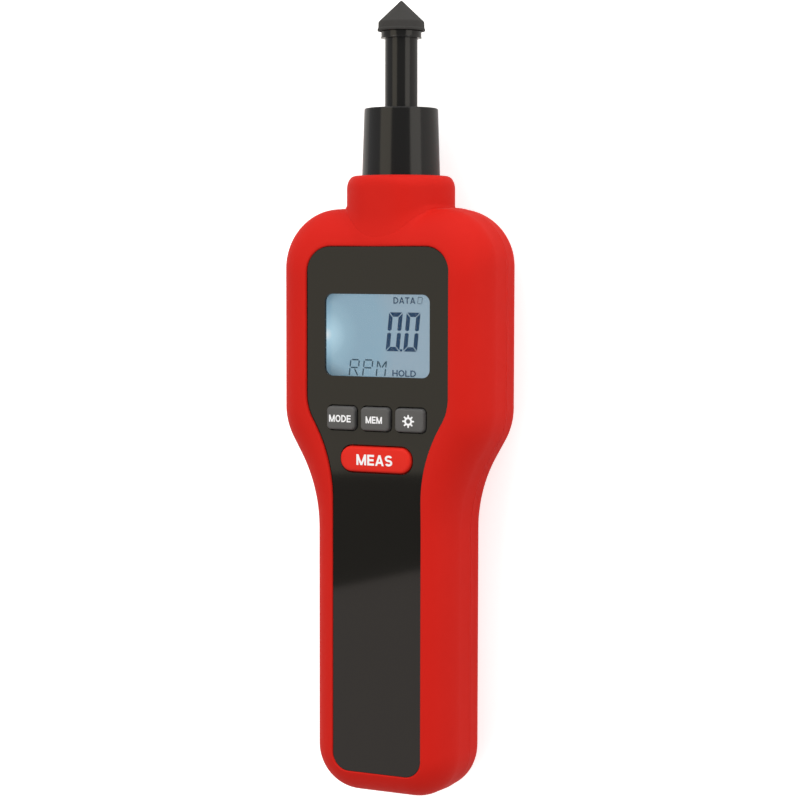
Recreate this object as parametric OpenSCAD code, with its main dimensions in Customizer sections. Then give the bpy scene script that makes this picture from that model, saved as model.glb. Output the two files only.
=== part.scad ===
// Handheld laser tachometer with a pull-off contact adapter.
// It lies on its back: X runs across, Y runs along the body towards the contact tip,
// and Z points out of the front. The origin is under the middle of the overall length.

/* [Body] */
// Length of the body from its foot to the top of the shoulders
body_l = 163; // [150:1:180]
// Width across the head
head_w = 64; // [62:0.5:74]
// Width across the grip
grip_w = 43; // [41:0.5:46]
// Depth of the body from its back to the front rim
body_t = 31.1; // [30:0.1:36]
// Length of the head from the shoulders down to the start of the neck
head_l = 55; // [50:1:62]
// Corner radius of the shoulders
shoulder_r = 16; // [13:0.5:18]
// Corner radius at the foot
foot_r = 13; // [12:0.5:15]
// Radius of the outward bend where the head runs into the neck
neck_convex_r = 19; // [14:1:22]
// Radius of the inward bend where the neck runs into the grip
neck_concave_r = 40; // [25:1:45]
// Slope of the neck from the long axis, in degrees
neck_angle = 30; // [26:1:32]
// Radius of the soft edge round the front
front_edge_r = 10; // [7:0.5:11]
// Length of the soft front edge where it runs down the shoulders
shoulder_run = 16; // [10:0.5:18]
// Radius of the soft edge round the back
rear_edge_r = 11.5; // [9:0.5:11.5]
// Inset of the side walls at the start of the soft edges, as mould draft
side_draft = 0.3; // [0.1:0.1:0.6]
// Wall thickness of the two shells
wall = 2.4; // [2:0.1:2.8]

/* [Nose] */
// Height of the spindle axis, and of the parting plane, above the back
axis_z = 15.2; // [15.2:0.1:17]
// Diameter of the collar on the shoulders
collar_d = 30; // [29:0.2:30.4]
// Height of the collar above the shoulders
collar_h = 8.8; // [7:0.2:11]
// Rounding of the collar's rim
collar_rim_r = 2.3; // [1:0.1:3]
// Thickness of the collar's lip over the optics barrel
collar_lip_t = 1.6; // [1.2:0.1:2]
// Diameter of the optics barrel
barrel_d = 24.8; // [24.4:0.1:25.2]
// Length of the optics barrel
barrel_l = 22; // [20:0.5:24]
// Depth of the adapter's socket below the collar's rim
socket_depth = 11.3; // [10:0.1:12.5]
// Diameter of the clear optics window
window_d = 15; // [13:0.5:17]
// Thickness of the clear optics window
window_t = 1.4; // [1:0.1:2]
// Diameter of the laser module
laser_d = 6; // [5:0.5:6.5]
// Diameter of the light receiver
receiver_d = 5; // [4:0.5:6]
// Distance between the laser and the receiver
optics_pitch = 7.6; // [7.2:0.1:8.4]

/* [Front panel] */
// Distance from the shoulders to the panel's top edge
panel_top_gap = 10.7; // [9.5:0.1:12]
// Distance from the foot to the panel's bottom edge
panel_foot_gap = 7.2; // [6:0.1:9]
// Width of the panel on the head
panel_head_w = 42.9; // [41:0.1:44]
// Width of the panel on the grip
panel_grip_w = 26.7; // [25.5:0.1:28]
// Corner radius at the panel's top
panel_top_r = 7; // [4:0.5:9]
// Corner radius at the panel's bottom
panel_foot_r = 4.8; // [3:0.2:7]
// Radius of the panel's outward bend at the neck
panel_convex_r = 13; // [8:1:16]
// Radius of the panel's inward bend at the neck
panel_concave_r = 42; // [30:1:44]
// Height of the panel's neck above the body's neck
panel_neck_rise = 3.5; // [2:0.1:5]
// Depth of the panel's face below the front rim
panel_recess = 0.8; // [0.4:0.1:1.2]
// Thickness of the panel
panel_t = 1.8; // [1.4:0.1:2.2]
// Width of the ledge that carries the panel
ledge_w = 2; // [1.4:0.1:2.4]
// Thickness of the ledge that carries the panel
ledge_t = 2; // [1.4:0.1:2.6]

/* [Display] */
// Width of the display window
lcd_w = 31.8; // [28:0.2:33]
// Height of the display window
lcd_h = 22.5; // [20:0.2:24]
// Corner radius of the display window
lcd_r = 2.2; // [1:0.1:3]
// Distance from the panel's top edge to the display window
lcd_top_gap = 12.9; // [11:0.1:14.5]
// Depth of the lens below the panel's face
lens_recess = 0.25; // [0.1:0.05:0.5]
// Margin of the display glass round the window
glass_margin = 2.1; // [1.5:0.1:2.4]
// Thickness of the display glass
glass_t = 2.8; // [2:0.1:3.2]
// Thickness of the light guide behind the glass
guide_t = 3.2; // [2.6:0.1:4]

/* [Keys] */
// Width of a small key
key_w = 8.8; // [8:0.1:9.2]
// Height of a small key
key_h = 6.6; // [6:0.1:7.4]
// Distance between the small keys
key_pitch = 10.4; // [10.4:0.1:11]
// Distance from the display window to the middle of the small keys
key_row_gap = 11.5; // [11:0.1:12.4]
// Corner radius of a small key
key_r = 1.3; // [0.8:0.1:2]
// Width of the measure key
measure_w = 21.5; // [20:0.1:22]
// Height of the measure key
measure_h = 7.2; // [6.6:0.1:7.6]
// Corner radius of the measure key
measure_r = 3.4; // [2:0.1:3.5]
// Distance from the small keys to the middle of the measure key
measure_row_gap = 11.1; // [10.4:0.1:12]
// Height of the small keys above the panel's face
key_rise = 1.6; // [1:0.1:2]
// Height of the measure key above the panel's face
measure_rise = 1.3; // [1:0.1:2]
// Travel of the keys
key_travel = 0.7; // [0.4:0.1:0.8]

/* [Contact adapter] */
// Length of the sleeve above the collar
sleeve_out = 18.6; // [17:0.2:22]
// Diameter of the sleeve at its top
sleeve_top_d = 20.4; // [19:0.2:21]
// Diameter of the sleeve at the collar, and of its spigot
sleeve_root_d = 21.6; // [21:0.1:22]
// Diameter of the drive shaft outside the sleeve
shaft_d = 9; // [8:0.2:9.6]
// Length of the drive shaft between the sleeve and the tip
shaft_out = 19.2; // [16:0.2:24]
// Diameter of the contact tip
tip_d = 13.2; // [12.4:0.1:14]
// Height of the tip's cone
tip_cone_h = 5.9; // [5:0.1:7]
// Height of the tip's rim
tip_rim_h = 2.5; // [2:0.1:3]
// Diameter of the hub under the tip
tip_hub_d = 11.4; // [10.4:0.1:12]
// Height of the hub under the tip
tip_hub_h = 2; // [1.5:0.1:3]
// Bore of the two ball bearings
bearing_d = 6; // [5:0.2:6.4]
// Outer diameter of the two ball bearings
bearing_od = 13; // [12.6:0.1:13.4]
// Width of the two ball bearings
bearing_w = 5; // [4:0.1:5.4]
// Number of balls in each bearing
ball_count = 7; // [5:1:7]

/* [Battery] */
// Diameter of a cell
cell_d = 10.5; // [10:0.1:10.6]
// Length of a cell without its nub
cell_l = 43.5; // [42:0.1:44]
// Distance between the cells
cell_pitch = 11.6; // [11.6:0.1:11.8]
// Half the width of the battery door
door_half_w = 14.5; // [13.5:0.1:15]
// Length of the battery door from the foot
door_l = 58; // [57:0.5:59]
// Height of the door's upturned end
door_lip = 9; // [8:0.2:10]
// Number of grip grooves in the door
groove_count = 6; // [4:1:7]

/* [Fasteners and fits] */
// Diameter of the housing screws' shanks
screw_d = 2.8; // [2.4:0.1:3]
// Diameter of the housing screws' heads
screw_head_d = 5.6; // [5:0.1:5.8]
// Diameter of the board screws' shanks
board_screw_d = 1.9; // [1.6:0.1:2.1]
// Thickness of the circuit boards
board_t = 1.6; // [1:0.1:1.6]
// Gap round pieces that move
run_gap = 0.3; // [0.2:0.05:0.35]
// Gap round pieces that only sit in their seats
seat_gap = 0.1; // [0.05:0.05:0.15]
// Gap of the adapter's spigot and of the bearings in their bores
fit_gap = 0.03; // [0.01:0.01:0.05]

/* [Hidden] */
$fn = 64;
corner_steps = 8;
bend_steps = 6;
edge_steps = 6;
eps = 0.5;
tiny_r = 0.2;

// Places along the body
total_l = body_l + collar_h + sleeve_out + shaft_out + tip_hub_h + tip_rim_h + tip_cone_h;
y_foot = -total_l / 2;
y_shoulder = y_foot + body_l;
y_neck = y_shoulder - head_l;
y_collar = y_shoulder + collar_h;
y_socket = y_collar - socket_depth;
y_sleeve = y_collar + sleeve_out;
y_hub = y_sleeve + shaft_out;
y_rim = y_hub + tip_hub_h;
y_cone = y_rim + tip_rim_h;
y_tip = y_cone + tip_cone_h;
y_lcd = y_shoulder - panel_top_gap - lcd_top_gap - lcd_h / 2;
y_keys = y_lcd - lcd_h / 2 - key_row_gap;
y_measure = y_keys - measure_row_gap;

// Heights above the back
z_panel = body_t - panel_recess;
z_ledge = z_panel - panel_t;
z_glass = z_ledge - 2 * seat_gap - glass_t;
z_board = z_glass - guide_t;
z_cells = 5.4 + cell_d / 2;

// Nose: optics barrel, its flange and its small board
barrel_top = y_collar - collar_lip_t - seat_gap;
barrel_foot = barrel_top - barrel_l;
barrel_seat_d = barrel_d + 2 * seat_gap;
barrel_flange_d = barrel_d + 2;
barrel_flange_t = 2.4;
barrel_flange_y = y_shoulder - wall - side_draft - barrel_flange_t;
socket_d = sleeve_root_d + 2 * fit_gap;
lens_pocket = window_t + seat_gap;
optics_board_d = barrel_d - 2;
optics_board_y = barrel_foot - seat_gap - board_t;

// Adapter: bearings, races and what holds them
bearing_lip_t = 2;
race_t = (bearing_od - bearing_d) / 4 - 0.75;
ball_d = 2.2;
ball_pitch_r = (bearing_od + bearing_d) / 4;
bearing_top = y_sleeve - bearing_lip_t - fit_gap;
ring_t = 0.8;
disc_t = 1;
bearing_foot = y_socket + 1 + disc_t + ring_t + 3 * run_gap;
bore_d = bearing_od + 2 * fit_gap;
tip_spigot_d = 6;
tip_spigot_l = tip_rim_h + 0.9;

// Battery tray, as long as its cells, springs and plates
tray_wall = 0.9;
trough_d = cell_d + 0.4;
tray_half_w = cell_pitch + trough_d / 2 + tray_wall;
tray_end = 1.2;
tray_foot_gap = 5.7;
spring_l = 4.4;
plate_t = 0.4;
contact_w = 8;
nub_l = 1;
lead_d = 1.2;
tray_l = cell_l + nub_l + spring_l + 2 * plate_t + 2 * tray_end + 0.6;
tray_top_y = y_foot + tray_foot_gap + tray_l;

// Screw posts, in the top corners of the head and above the tray and the door on the grip
post_d = 9;
post_inset = 6.8;
counterbore_z = 7.5;
screw_head_t = 2;
screw_l = 15;
post_y_grip = max(tray_top_y, y_foot + door_l) + seat_gap + post_d / 2;
corner_reach = shoulder_r - (shoulder_r - post_inset) / sqrt(2);
post_places = [
    for (side = [-1, 1]) each [
        [side * (head_w / 2 - corner_reach), y_shoulder - corner_reach],
        [side * (grip_w / 2 - post_inset - 0.2), post_y_grip]
    ]
];

// Main board, its screws, and the bosses that carry it
board_inset = 4.5;
board_top_y = optics_board_y - 0.4;
board_foot_y = post_y_grip + post_d / 2 + 0.4;
boss_d = 4.8;
boss_grip = 4;
header_w = 8;
header_l = 3;
header_t = 2.4;
boss_places = [
    for (side = [-1, 1]) each [
        [side * (head_w / 2 - 7), board_top_y - 3],
        [side * (grip_w / 2 - 7), board_foot_y + 4]
    ]
];

// Keys, from the panel down to their switches
flange_reach = 0.5;
flange_t = 1.2;
z_flange = z_ledge - 2 * seat_gap - flange_t;
switch_w = 6;
switch_t = 3.1;
plunger_d = 3.4;
z_plunger = z_flange - 0.9;
plunger_l = 1.6;
key_bevel = 0.5;
key_stem_d = 3.2;

// Seat of the tray on the rounded inside of the rear shell
rear_inner_r = rear_edge_r - wall;
tray_seat_x = tray_half_w + seat_gap - (grip_w / 2 - side_draft - rear_edge_r);
tray_z = rear_edge_r - sqrt(rear_inner_r * rear_inner_r - tray_seat_x * tray_seat_x);
tray_top_z = z_cells + trough_d / 2 + tray_end;

// Outlines

// Points of an arc about c, from angle a0 to a1.
function arc(c, r, a0, a1, steps) =
    [for (i = [0:steps]) let (a = a0 + (a1 - a0) * i / steps) c + r * [cos(a), sin(a)]];

// Right half of a paddle: a grip, a sloping neck and a wider head, drawn inset by d, and by e at its top.
function paddle_half(d, e, grip, head, foot, top, r_foot, r_top, r_in, r_out, neck) =
    let (
        rf = max(r_foot - d, tiny_r),
        rt = max(r_top - d, tiny_r),
        ro = max(r_out - d, tiny_r),
        run = head - grip - (r_in + r_out) * (1 - cos(neck_angle)),
        y_in = neck - (r_in + r_out) * sin(neck_angle) - run / tan(neck_angle)
    )
    concat(
        arc([grip - d - rf, foot + d + rf], rf, -90, 0, corner_steps),
        arc([grip + r_in, y_in], r_in + d, 180, 180 - neck_angle, bend_steps),
        arc([head - d - ro, neck], ro, -neck_angle, 0, bend_steps),
        arc([head - d - rt, top - e - rt], rt, 0, 90, corner_steps)
    );

// A half outline closed by its mirror image.
function closed(half) =
    concat(half, [for (i = [len(half) - 1:-1:0]) [-half[i][0], half[i][1]]]);

function body_outline(d, e) = closed(paddle_half(
    d, is_undef(e) ? d : e, grip_w / 2, head_w / 2, y_foot, y_shoulder,
    foot_r, shoulder_r, neck_concave_r, neck_convex_r, y_neck
));

function panel_outline(d) = closed(paddle_half(
    d, d, panel_grip_w / 2, panel_head_w / 2, y_foot + panel_foot_gap, y_shoulder - panel_top_gap,
    panel_foot_r, panel_top_r, panel_concave_r, panel_convex_r, y_neck + panel_neck_rise
));

function at_height(outline, z) = [for (p = outline) [p[0], p[1], z]];

// Rings of a soft edge: the outline turns in by r, and by run at the top, while it climbs (way = 1) or
// sinks (way = -1) by r.
function edge_rings(inset, r, run, z, way) = [
    for (i = [0:edge_steps])
        let (a = 90 * i / edge_steps)
        at_height(body_outline(inset + r * (1 - cos(a)), inset + run * (1 - cos(a))), z + way * r * sin(a))
];

function reversed(list) = [for (i = [len(list) - 1:-1:0]) list[i]];

// Shapes that repeat

// Solid through a stack of rings of equally many points, from the lowest ring to the highest.
module loft(rings) {
    n = len(rings[0]);
    last = (len(rings) - 1) * n;
    polyhedron(
        points = [for (ring = rings) each ring],
        faces = concat(
            [[for (i = [0:n - 1]) i]],
            [[for (i = [n - 1:-1:0]) last + i]],
            [
                for (k = [0:len(rings) - 2], i = [0:n - 1])
                    let (a = k * n + i, b = k * n + (i + 1) % n)
                    [a, a + n, b + n, b]
            ]
        )
    );
}

// Front half of the body, or of its hollow where depth is the wall. The stack of rings runs past both
// flat ends and is trimmed there, at the front face and at the parting plane less an overlap.
module front_half(depth, overlap) {
    r = front_edge_r - depth;
    run = shoulder_run - depth;
    edge = edge_rings(depth + side_draft, r, run, body_t - front_edge_r, 1);
    intersection() {
        loft(concat(
            [at_height(body_outline(depth), axis_z - 2 * eps - overlap)],
            [at_height(body_outline(depth), axis_z)],
            edge,
            [at_height(body_outline(depth + side_draft + r, depth + side_draft + run), body_t + 2 * eps)]
        ));
        half_space(axis_z - overlap, body_t - depth);
    }
}

// Rear half of the body, or of its hollow where depth is the wall, made in the same way.
module rear_half(depth, overlap) {
    r = rear_edge_r - depth;
    edge = edge_rings(depth + side_draft, r, r, rear_edge_r, -1);
    intersection() {
        loft(concat(
            [at_height(body_outline(depth + side_draft + r), -2 * eps)],
            reversed(edge),
            [at_height(body_outline(depth), axis_z)],
            [at_height(body_outline(depth), axis_z + 2 * eps + overlap)]
        ));
        half_space(depth, axis_z + overlap);
    }
}

// Turns what is drawn along Z so that it runs along the spindle axis, with heights as places on Y.
module on_spindle() {
    translate([0, 0, axis_z]) rotate([-90, 0, 0]) children();
}

module tube(d_out, d_in, y, l) {
    difference() {
        translate([0, 0, y]) cylinder(d = d_out, h = l);
        translate([0, 0, y - eps]) cylinder(d = d_in, h = l + 2 * eps);
    }
}

module rounded_rect(w, h, r) {
    square([w - 2 * r, h], center = true);
    square([w, h - 2 * r], center = true);
    for (x = [-1, 1], y = [-1, 1])
        translate([x * (w / 2 - r), y * (h / 2 - r)]) circle(r);
}

// Plate with rounded corners, from z up by t, centred on x and y.
module plate(x, y, z, w, h, t, r) {
    translate([x, y, z]) linear_extrude(t) rounded_rect(w, h, r);
}

// Block between two corners.
module block(low, high) {
    translate(low) cube(high - low);
}

// Straight round rod from a to b.
module rod(a, b, d) {
    run = b - a;
    translate(a)
        rotate([0, acos(run[2] / norm(run)), atan2(run[1], run[0])])
            cylinder(d = d, h = norm(run));
}

// The collar, with its rim rounded, from inside the head up to its top.
module collar() {
    r = collar_d / 2;
    on_spindle() rotate_extrude() union() {
        translate([0, y_shoulder - shoulder_run])
            square([r, shoulder_run + collar_h - collar_rim_r]);
        translate([0, y_collar - collar_rim_r - eps])
            square([r - collar_rim_r, collar_rim_r + eps]);
        translate([r - collar_rim_r, y_collar - collar_rim_r]) circle(collar_rim_r);
    }
}

// Bores through the collar: the lip over the barrel, the barrel's seat and its flange groove.
module nose_bores() {
    on_spindle() {
        translate([0, 0, y_socket]) cylinder(d = sleeve_root_d + 2 * run_gap, h = socket_depth + eps);
        translate([0, 0, barrel_foot]) cylinder(d = barrel_seat_d, h = barrel_top + seat_gap - barrel_foot);
        translate([0, 0, barrel_flange_y - seat_gap])
            cylinder(d = barrel_flange_d + 2 * seat_gap, h = barrel_flange_t + 2 * seat_gap);
    }
}

module posts(low, high) {
    for (p = post_places) translate([p[0], p[1], low]) cylinder(d = post_d, h = high - low);
}

// Everything on one side of the parting plane, for cutting the collar in two.
module half_space(low, high) {
    block([-head_w, y_foot - head_w, low], [head_w, y_tip, high]);
}

// Housing

// Front hollow, less the posts, bosses and ledge that stand in it.
module front_hollow() {
    difference() {
        front_half(wall, eps);
        posts(axis_z - 2 * eps, body_t - wall - 1);
        for (p = boss_places)
            translate([p[0], p[1], z_board]) cylinder(d = boss_d, h = body_t - z_board);
        translate([0, 0, z_ledge - ledge_t])
            linear_extrude(body_t) polygon(panel_outline(-wall / 1.5));
    }
}

// Pocket for the panel, and the opening inside its ledge.
module panel_pocket() {
    translate([0, 0, z_ledge]) linear_extrude(body_t) polygon(panel_outline(-seat_gap));
    translate([0, 0, axis_z - eps]) linear_extrude(body_t) polygon(panel_outline(ledge_w));
}

module front_shell() {
    color("#d0201c") difference() {
        front_skin();
        nose_bores();
        for (p = post_places)
            translate([p[0], p[1], axis_z - eps])
                cylinder(d = screw_d + 2 * fit_gap, h = screw_l - (axis_z - counterbore_z) + 1 + eps);
        for (p = boss_places)
            translate([p[0], p[1], z_board - eps]) cylinder(d = board_screw_d + 2 * fit_gap, h = boss_grip + 1 + eps);
    }
}

// Front half with its hollow and panel opening, before its bores.
module front_skin() {
    difference() {
        difference() {
            union() {
                front_half(0, 0);
                intersection() {
                    collar();
                    half_space(axis_z, body_t + eps);
                }
            }
            front_hollow();
        }
        panel_pocket();
    }
}

module rear_shell() {
    color("#c91f1b") difference() {
        difference() {
            union() {
                rear_half(0, 0);
                intersection() {
                    collar();
                    half_space(-eps, axis_z);
                }
            }
            difference() {
                rear_half(wall, eps);
                posts(-eps, axis_z + 2 * eps);
            }
        }
        nose_bores();
        door_space(0);
        for (p = post_places) translate([p[0], p[1], -eps]) {
            cylinder(d = screw_head_d + 2 * run_gap, h = counterbore_z + eps);
            cylinder(d = screw_d + 2 * run_gap, h = axis_z + 2 * eps);
        }
    }
}

// Opening for the battery door, drawn smaller by gap for the door itself.
module door_space(gap) {
    block(
        [-door_half_w + gap, y_foot - eps, -eps],
        [door_half_w - gap, y_foot + door_l - gap, wall + rear_inner_r / 2]
    );
    block([-door_half_w + gap, y_foot - eps, -eps], [door_half_w - gap, y_foot + foot_r, door_lip - gap]);
    if (gap == 0) door_rails(run_gap, y_foot - eps);
}

// Rails along the door's sides, drawn larger by gap for the grooves that they slide in.
module door_rails(gap, foot) {
    for (side = [0, 1]) mirror([side, 0, 0])
        block(
            [door_half_w - 2, foot, wall + 0.9 - gap],
            [door_half_w + 1.6 + gap, y_foot + door_l - 3 + gap, wall + 2.1 + gap]
        );
}

module battery_door() {
    groove_pitch = 2;
    color("#c91f1b") difference() {
        union() {
            difference() {
                intersection() {
                    rear_half(0, 0);
                    door_space(run_gap);
                }
                rear_half(wall, eps);
            }
            door_rails(0, y_foot + foot_r);
            for (side = [0, 1]) mirror([side, 0, 0])
                block(
                    [door_half_w - 2, y_foot + foot_r, wall - 0.4],
                    [door_half_w - 0.6, y_foot + door_l - 3, wall + 1.2]
                );
            block([-5, y_foot + door_l - 5, wall - 0.4], [5, y_foot + door_l - 1, wall + 1.6]);
            block(
                [-5, y_foot + door_l - 2, wall + run_gap],
                [5, y_foot + door_l + 3.5, wall + 1.6]
            );
        }
        for (i = [0:groove_count - 1])
            block(
                [-8, y_foot + door_l - 8 - groove_pitch * i, -eps],
                [8, y_foot + door_l - 7 - groove_pitch * i, 0.6]
            );
    }
}

module housing_screws() {
    color("#8d9094") for (p = post_places) translate([p[0], p[1], counterbore_z - screw_head_t]) {
        difference() {
            cylinder(d = screw_head_d, h = screw_head_t);
            for (a = [0, 90]) rotate(a) block([-0.5, -1.6, -eps], [0.5, 1.6, 1]);
        }
        cylinder(d = screw_d, h = screw_l);
    }
}

// Front panel and display

module front_panel() {
    color("#2b2927") difference() {
        translate([0, 0, z_ledge]) linear_extrude(panel_t) polygon(panel_outline(0));
        plate(0, y_lcd, z_ledge - eps, lcd_w, lcd_h, panel_t + 2 * eps, lcd_r);
        plate(0, y_lcd, z_ledge - eps, lcd_w + glass_margin, lcd_h + glass_margin, eps + panel_t / 2, lcd_r);
        for (i = [-1:1])
            plate(i * key_pitch, y_keys, z_ledge - eps, key_w + 2 * run_gap, key_h + 2 * run_gap,
                panel_t + 2 * eps, key_r + run_gap);
        plate(0, y_measure, z_ledge - eps, measure_w + 2 * run_gap, measure_h + 2 * run_gap,
            panel_t + 2 * eps, measure_r + run_gap);
    }
}

module lcd_lens() {
    z = z_ledge + seat_gap;
    color("#cfdde2", 0.4) {
        plate(0, y_lcd, z, lcd_w + glass_margin - 2 * seat_gap, lcd_h + glass_margin - 2 * seat_gap,
            panel_t / 2 - 2 * seat_gap, lcd_r);
        plate(0, y_lcd, z, lcd_w - 2 * seat_gap, lcd_h - 2 * seat_gap,
            panel_t - lens_recess - seat_gap, lcd_r - seat_gap);
    }
}

module lcd_glass() {
    color("#9fbcc6")
        plate(0, y_lcd, z_glass, lcd_w + 2 * glass_margin, lcd_h + 2 * glass_margin, glass_t, 0.6);
}

// The light guide is a slab with a wedge taken off its back, away from the lamp.
module backlight_guide() {
    h = lcd_h - 0.5;
    color("#f4f6f2") difference() {
        plate(0, y_lcd, z_board, lcd_w, h, guide_t, 0.6);
        translate([lcd_w / 2 + eps, y_lcd, z_board])
            rotate([0, -3, 0]) block([-lcd_w / 2, -h, -guide_t], [0, h, 0]);
    }
}

module backlight_led() {
    color("#fff7d6")
        block([-lcd_w / 2 - 1.7, y_lcd - 1.6, z_board], [-lcd_w / 2 - seat_gap, y_lcd + 1.6, z_board + 1.4]);
}

module zebra_strips() {
    color("#454548") for (side = [-1, 1])
        translate([-lcd_w / 2, y_lcd + side * (lcd_h / 2 + 0.9) - 0.8, z_board])
            cube([lcd_w, 1.6, guide_t]);
}

// Keys

module key(x, y, w, h, r, rise) {
    z_top = z_panel + rise;
    hull() {
        plate(x, y, z_flange, w, h, z_top - key_bevel - z_flange, r);
        plate(x, y, z_flange, w - 2 * key_bevel, h - 2 * key_bevel, z_top - z_flange, r - key_bevel);
    }
    plate(x, y, z_flange, w + 2 * flange_reach, h + 2 * flange_reach, flange_t, r);
    translate([x, y, z_plunger]) cylinder(d = key_stem_d, h = z_flange - z_plunger + eps);
}

module mode_key() {
    color("#55565a") key(-key_pitch, y_keys, key_w, key_h, key_r, key_rise);
}

module memory_key() {
    color("#55565a") key(0, y_keys, key_w, key_h, key_r, key_rise);
}

module backlight_key() {
    color("#55565a") key(key_pitch, y_keys, key_w, key_h, key_r, key_rise);
}

module measure_key() {
    color("#d8231e") key(0, y_measure, measure_w, measure_h, measure_r, measure_rise);
}

module plunger(x, y) {
    color("#e8e4da") translate([x, y, z_plunger - plunger_l]) cylinder(d = plunger_d, h = plunger_l);
}

module mode_plunger() {
    plunger(-key_pitch, y_keys);
}

module memory_plunger() {
    plunger(0, y_keys);
}

module backlight_plunger() {
    plunger(key_pitch, y_keys);
}

module measure_plunger() {
    plunger(0, y_measure);
}

module switch_bodies() {
    color("#1d1d1f")
        for (p = [[-key_pitch, y_keys], [0, y_keys], [key_pitch, y_keys], [0, y_measure]])
            translate([p[0], p[1], z_board]) difference() {
                translate([0, 0, switch_t / 2]) cube([switch_w, switch_w, switch_t], center = true);
                translate([0, 0, z_plunger - z_board - plunger_l - key_travel - seat_gap])
                    cylinder(d = plunger_d + 2 * seat_gap, h = switch_t);
            }
}

// Circuit boards

module main_board() {
    color("#1e6b3a") difference() {
        intersection() {
            translate([0, 0, z_board - board_t]) linear_extrude(board_t) polygon(body_outline(board_inset));
            block([-head_w, board_foot_y, 0], [head_w, board_top_y, body_t]);
        }
        for (p = boss_places)
            translate([p[0], p[1], 0]) cylinder(d = board_screw_d + 2 * fit_gap, h = body_t);
    }
}

module board_screws() {
    head_t = 1.4;
    color("#8d9094") for (p = boss_places) translate([p[0], p[1], z_board - board_t - head_t]) {
        cylinder(d = 2 * board_screw_d, h = head_t);
        cylinder(d = board_screw_d, h = head_t + board_t + boss_grip);
    }
}

module processor_chip() {
    color("#17171a") translate([0, y_lcd, z_board - board_t - 1.2])
        plate(0, 0, 0, 12, 12, 1.2, 0.4);
}

// Optics in the nose

// Room behind the front panel that the optics keep out of.
module panel_room() {
    block(
        [-head_w, y_foot, z_ledge - run_gap],
        [head_w, y_shoulder - panel_top_gap + run_gap, body_t + collar_d]
    );
}

module optics_barrel() {
    color("#1b1b1c") difference() {
        on_spindle() difference() {
            union() {
                translate([0, 0, barrel_foot]) cylinder(d = barrel_d, h = barrel_l);
                translate([0, 0, barrel_flange_y]) cylinder(d = barrel_flange_d, h = barrel_flange_t);
            }
            translate([0, 0, y_socket]) cylinder(d = socket_d, h = socket_depth);
            translate([0, 0, y_socket - lens_pocket]) cylinder(d = window_d + 2 * seat_gap, h = socket_depth);
        }
        optic_bore(-1, laser_d);
        optic_bore(1, receiver_d);
        panel_room();
    }
}

module optic_bore(side, d) {
    on_spindle() translate([side * optics_pitch / 2, 0, barrel_foot - eps])
        cylinder(d = d + 2 * fit_gap, h = y_socket - barrel_foot + eps);
}

module optics_window() {
    color("#b9404a", 0.5) on_spindle()
        translate([0, 0, y_socket - window_t]) cylinder(d = window_d, h = window_t);
}

// A turned barrel with a narrower nose round the laser's own small lens.
module laser_module() {
    l = y_socket - lens_pocket - barrel_foot;
    color("#b08d4a") on_spindle() translate([-optics_pitch / 2, 0, barrel_foot]) difference() {
        union() {
            cylinder(d = laser_d, h = l - 2);
            cylinder(d = laser_d - 1, h = l - seat_gap);
        }
        translate([0, 0, l - 1]) cylinder(d = 2, h = 2);
    }
}

// A domed light receiver on its flange.
module light_receiver() {
    l = 5;
    color("#151318") on_spindle() translate([optics_pitch / 2, 0, barrel_foot]) {
        cylinder(d = receiver_d, h = l);
        translate([0, 0, l]) intersection() {
            sphere(d = receiver_d);
            cylinder(d = receiver_d, h = receiver_d);
        }
    }
}

module optics_board() {
    color("#1e6b3a") difference() {
        on_spindle() translate([0, 0, optics_board_y]) cylinder(d = optics_board_d, h = board_t);
        panel_room();
    }
}

// Angled pin header that joins the optics board to the main board.
module board_header() {
    color("#1d1d1f") block(
        [-header_w / 2, board_top_y - header_l, z_board],
        [header_w / 2, optics_board_y - seat_gap, z_board + header_t]
    );
}

// Battery

// The tray follows the round corners of the foot.
module battery_tray() {
    color("#232324") difference() {
        intersection() {
            block([-tray_half_w, tray_top_y - tray_l, tray_z], [tray_half_w, tray_top_y, tray_top_z]);
            linear_extrude(body_t) polygon(body_outline(grip_w / 2 - tray_half_w));
        }
        for (i = [-1:1]) {
            translate([i * cell_pitch, tray_top_y - tray_end, z_cells]) rotate([90, 0, 0])
                cylinder(d = trough_d, h = tray_l - 2 * tray_end);
            block(
                [i * cell_pitch - trough_d / 2, tray_top_y - tray_l + tray_end, 0],
                [i * cell_pitch + trough_d / 2, tray_top_y - tray_end, z_cells]
            );
        }
    }
}

// Places a cell, a spring or a plate in trough i; the middle cell lies the other way round.
module in_trough(i) {
    top = tray_top_y - tray_end - seat_gap;
    foot = tray_top_y - tray_l + tray_end + seat_gap;
    translate([i * cell_pitch, i == 0 ? foot : top, z_cells])
        rotate([i == 0 ? -90 : 90, 0, 0]) children();
}

// The nub of each cell presses on its plate, and its flat end on its spring.
module battery_cells() {
    color("#3a6ea5") for (i = [-1:1]) in_trough(i) translate([0, 0, plate_t + seat_gap]) {
        translate([0, 0, nub_l]) cylinder(d = cell_d, h = cell_l);
        cylinder(d = 3.8, h = nub_l + eps);
    }
}

module battery_plates() {
    l = tray_l - 2 * tray_end - 2 * seat_gap;
    color("#c9c6bd") for (i = [-1:1]) in_trough(i) {
        plate(0, 0, 0, contact_w, contact_w, plate_t, 1);
        plate(0, 0, l - plate_t, contact_w, contact_w, plate_t, 1);
    }
}

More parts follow.
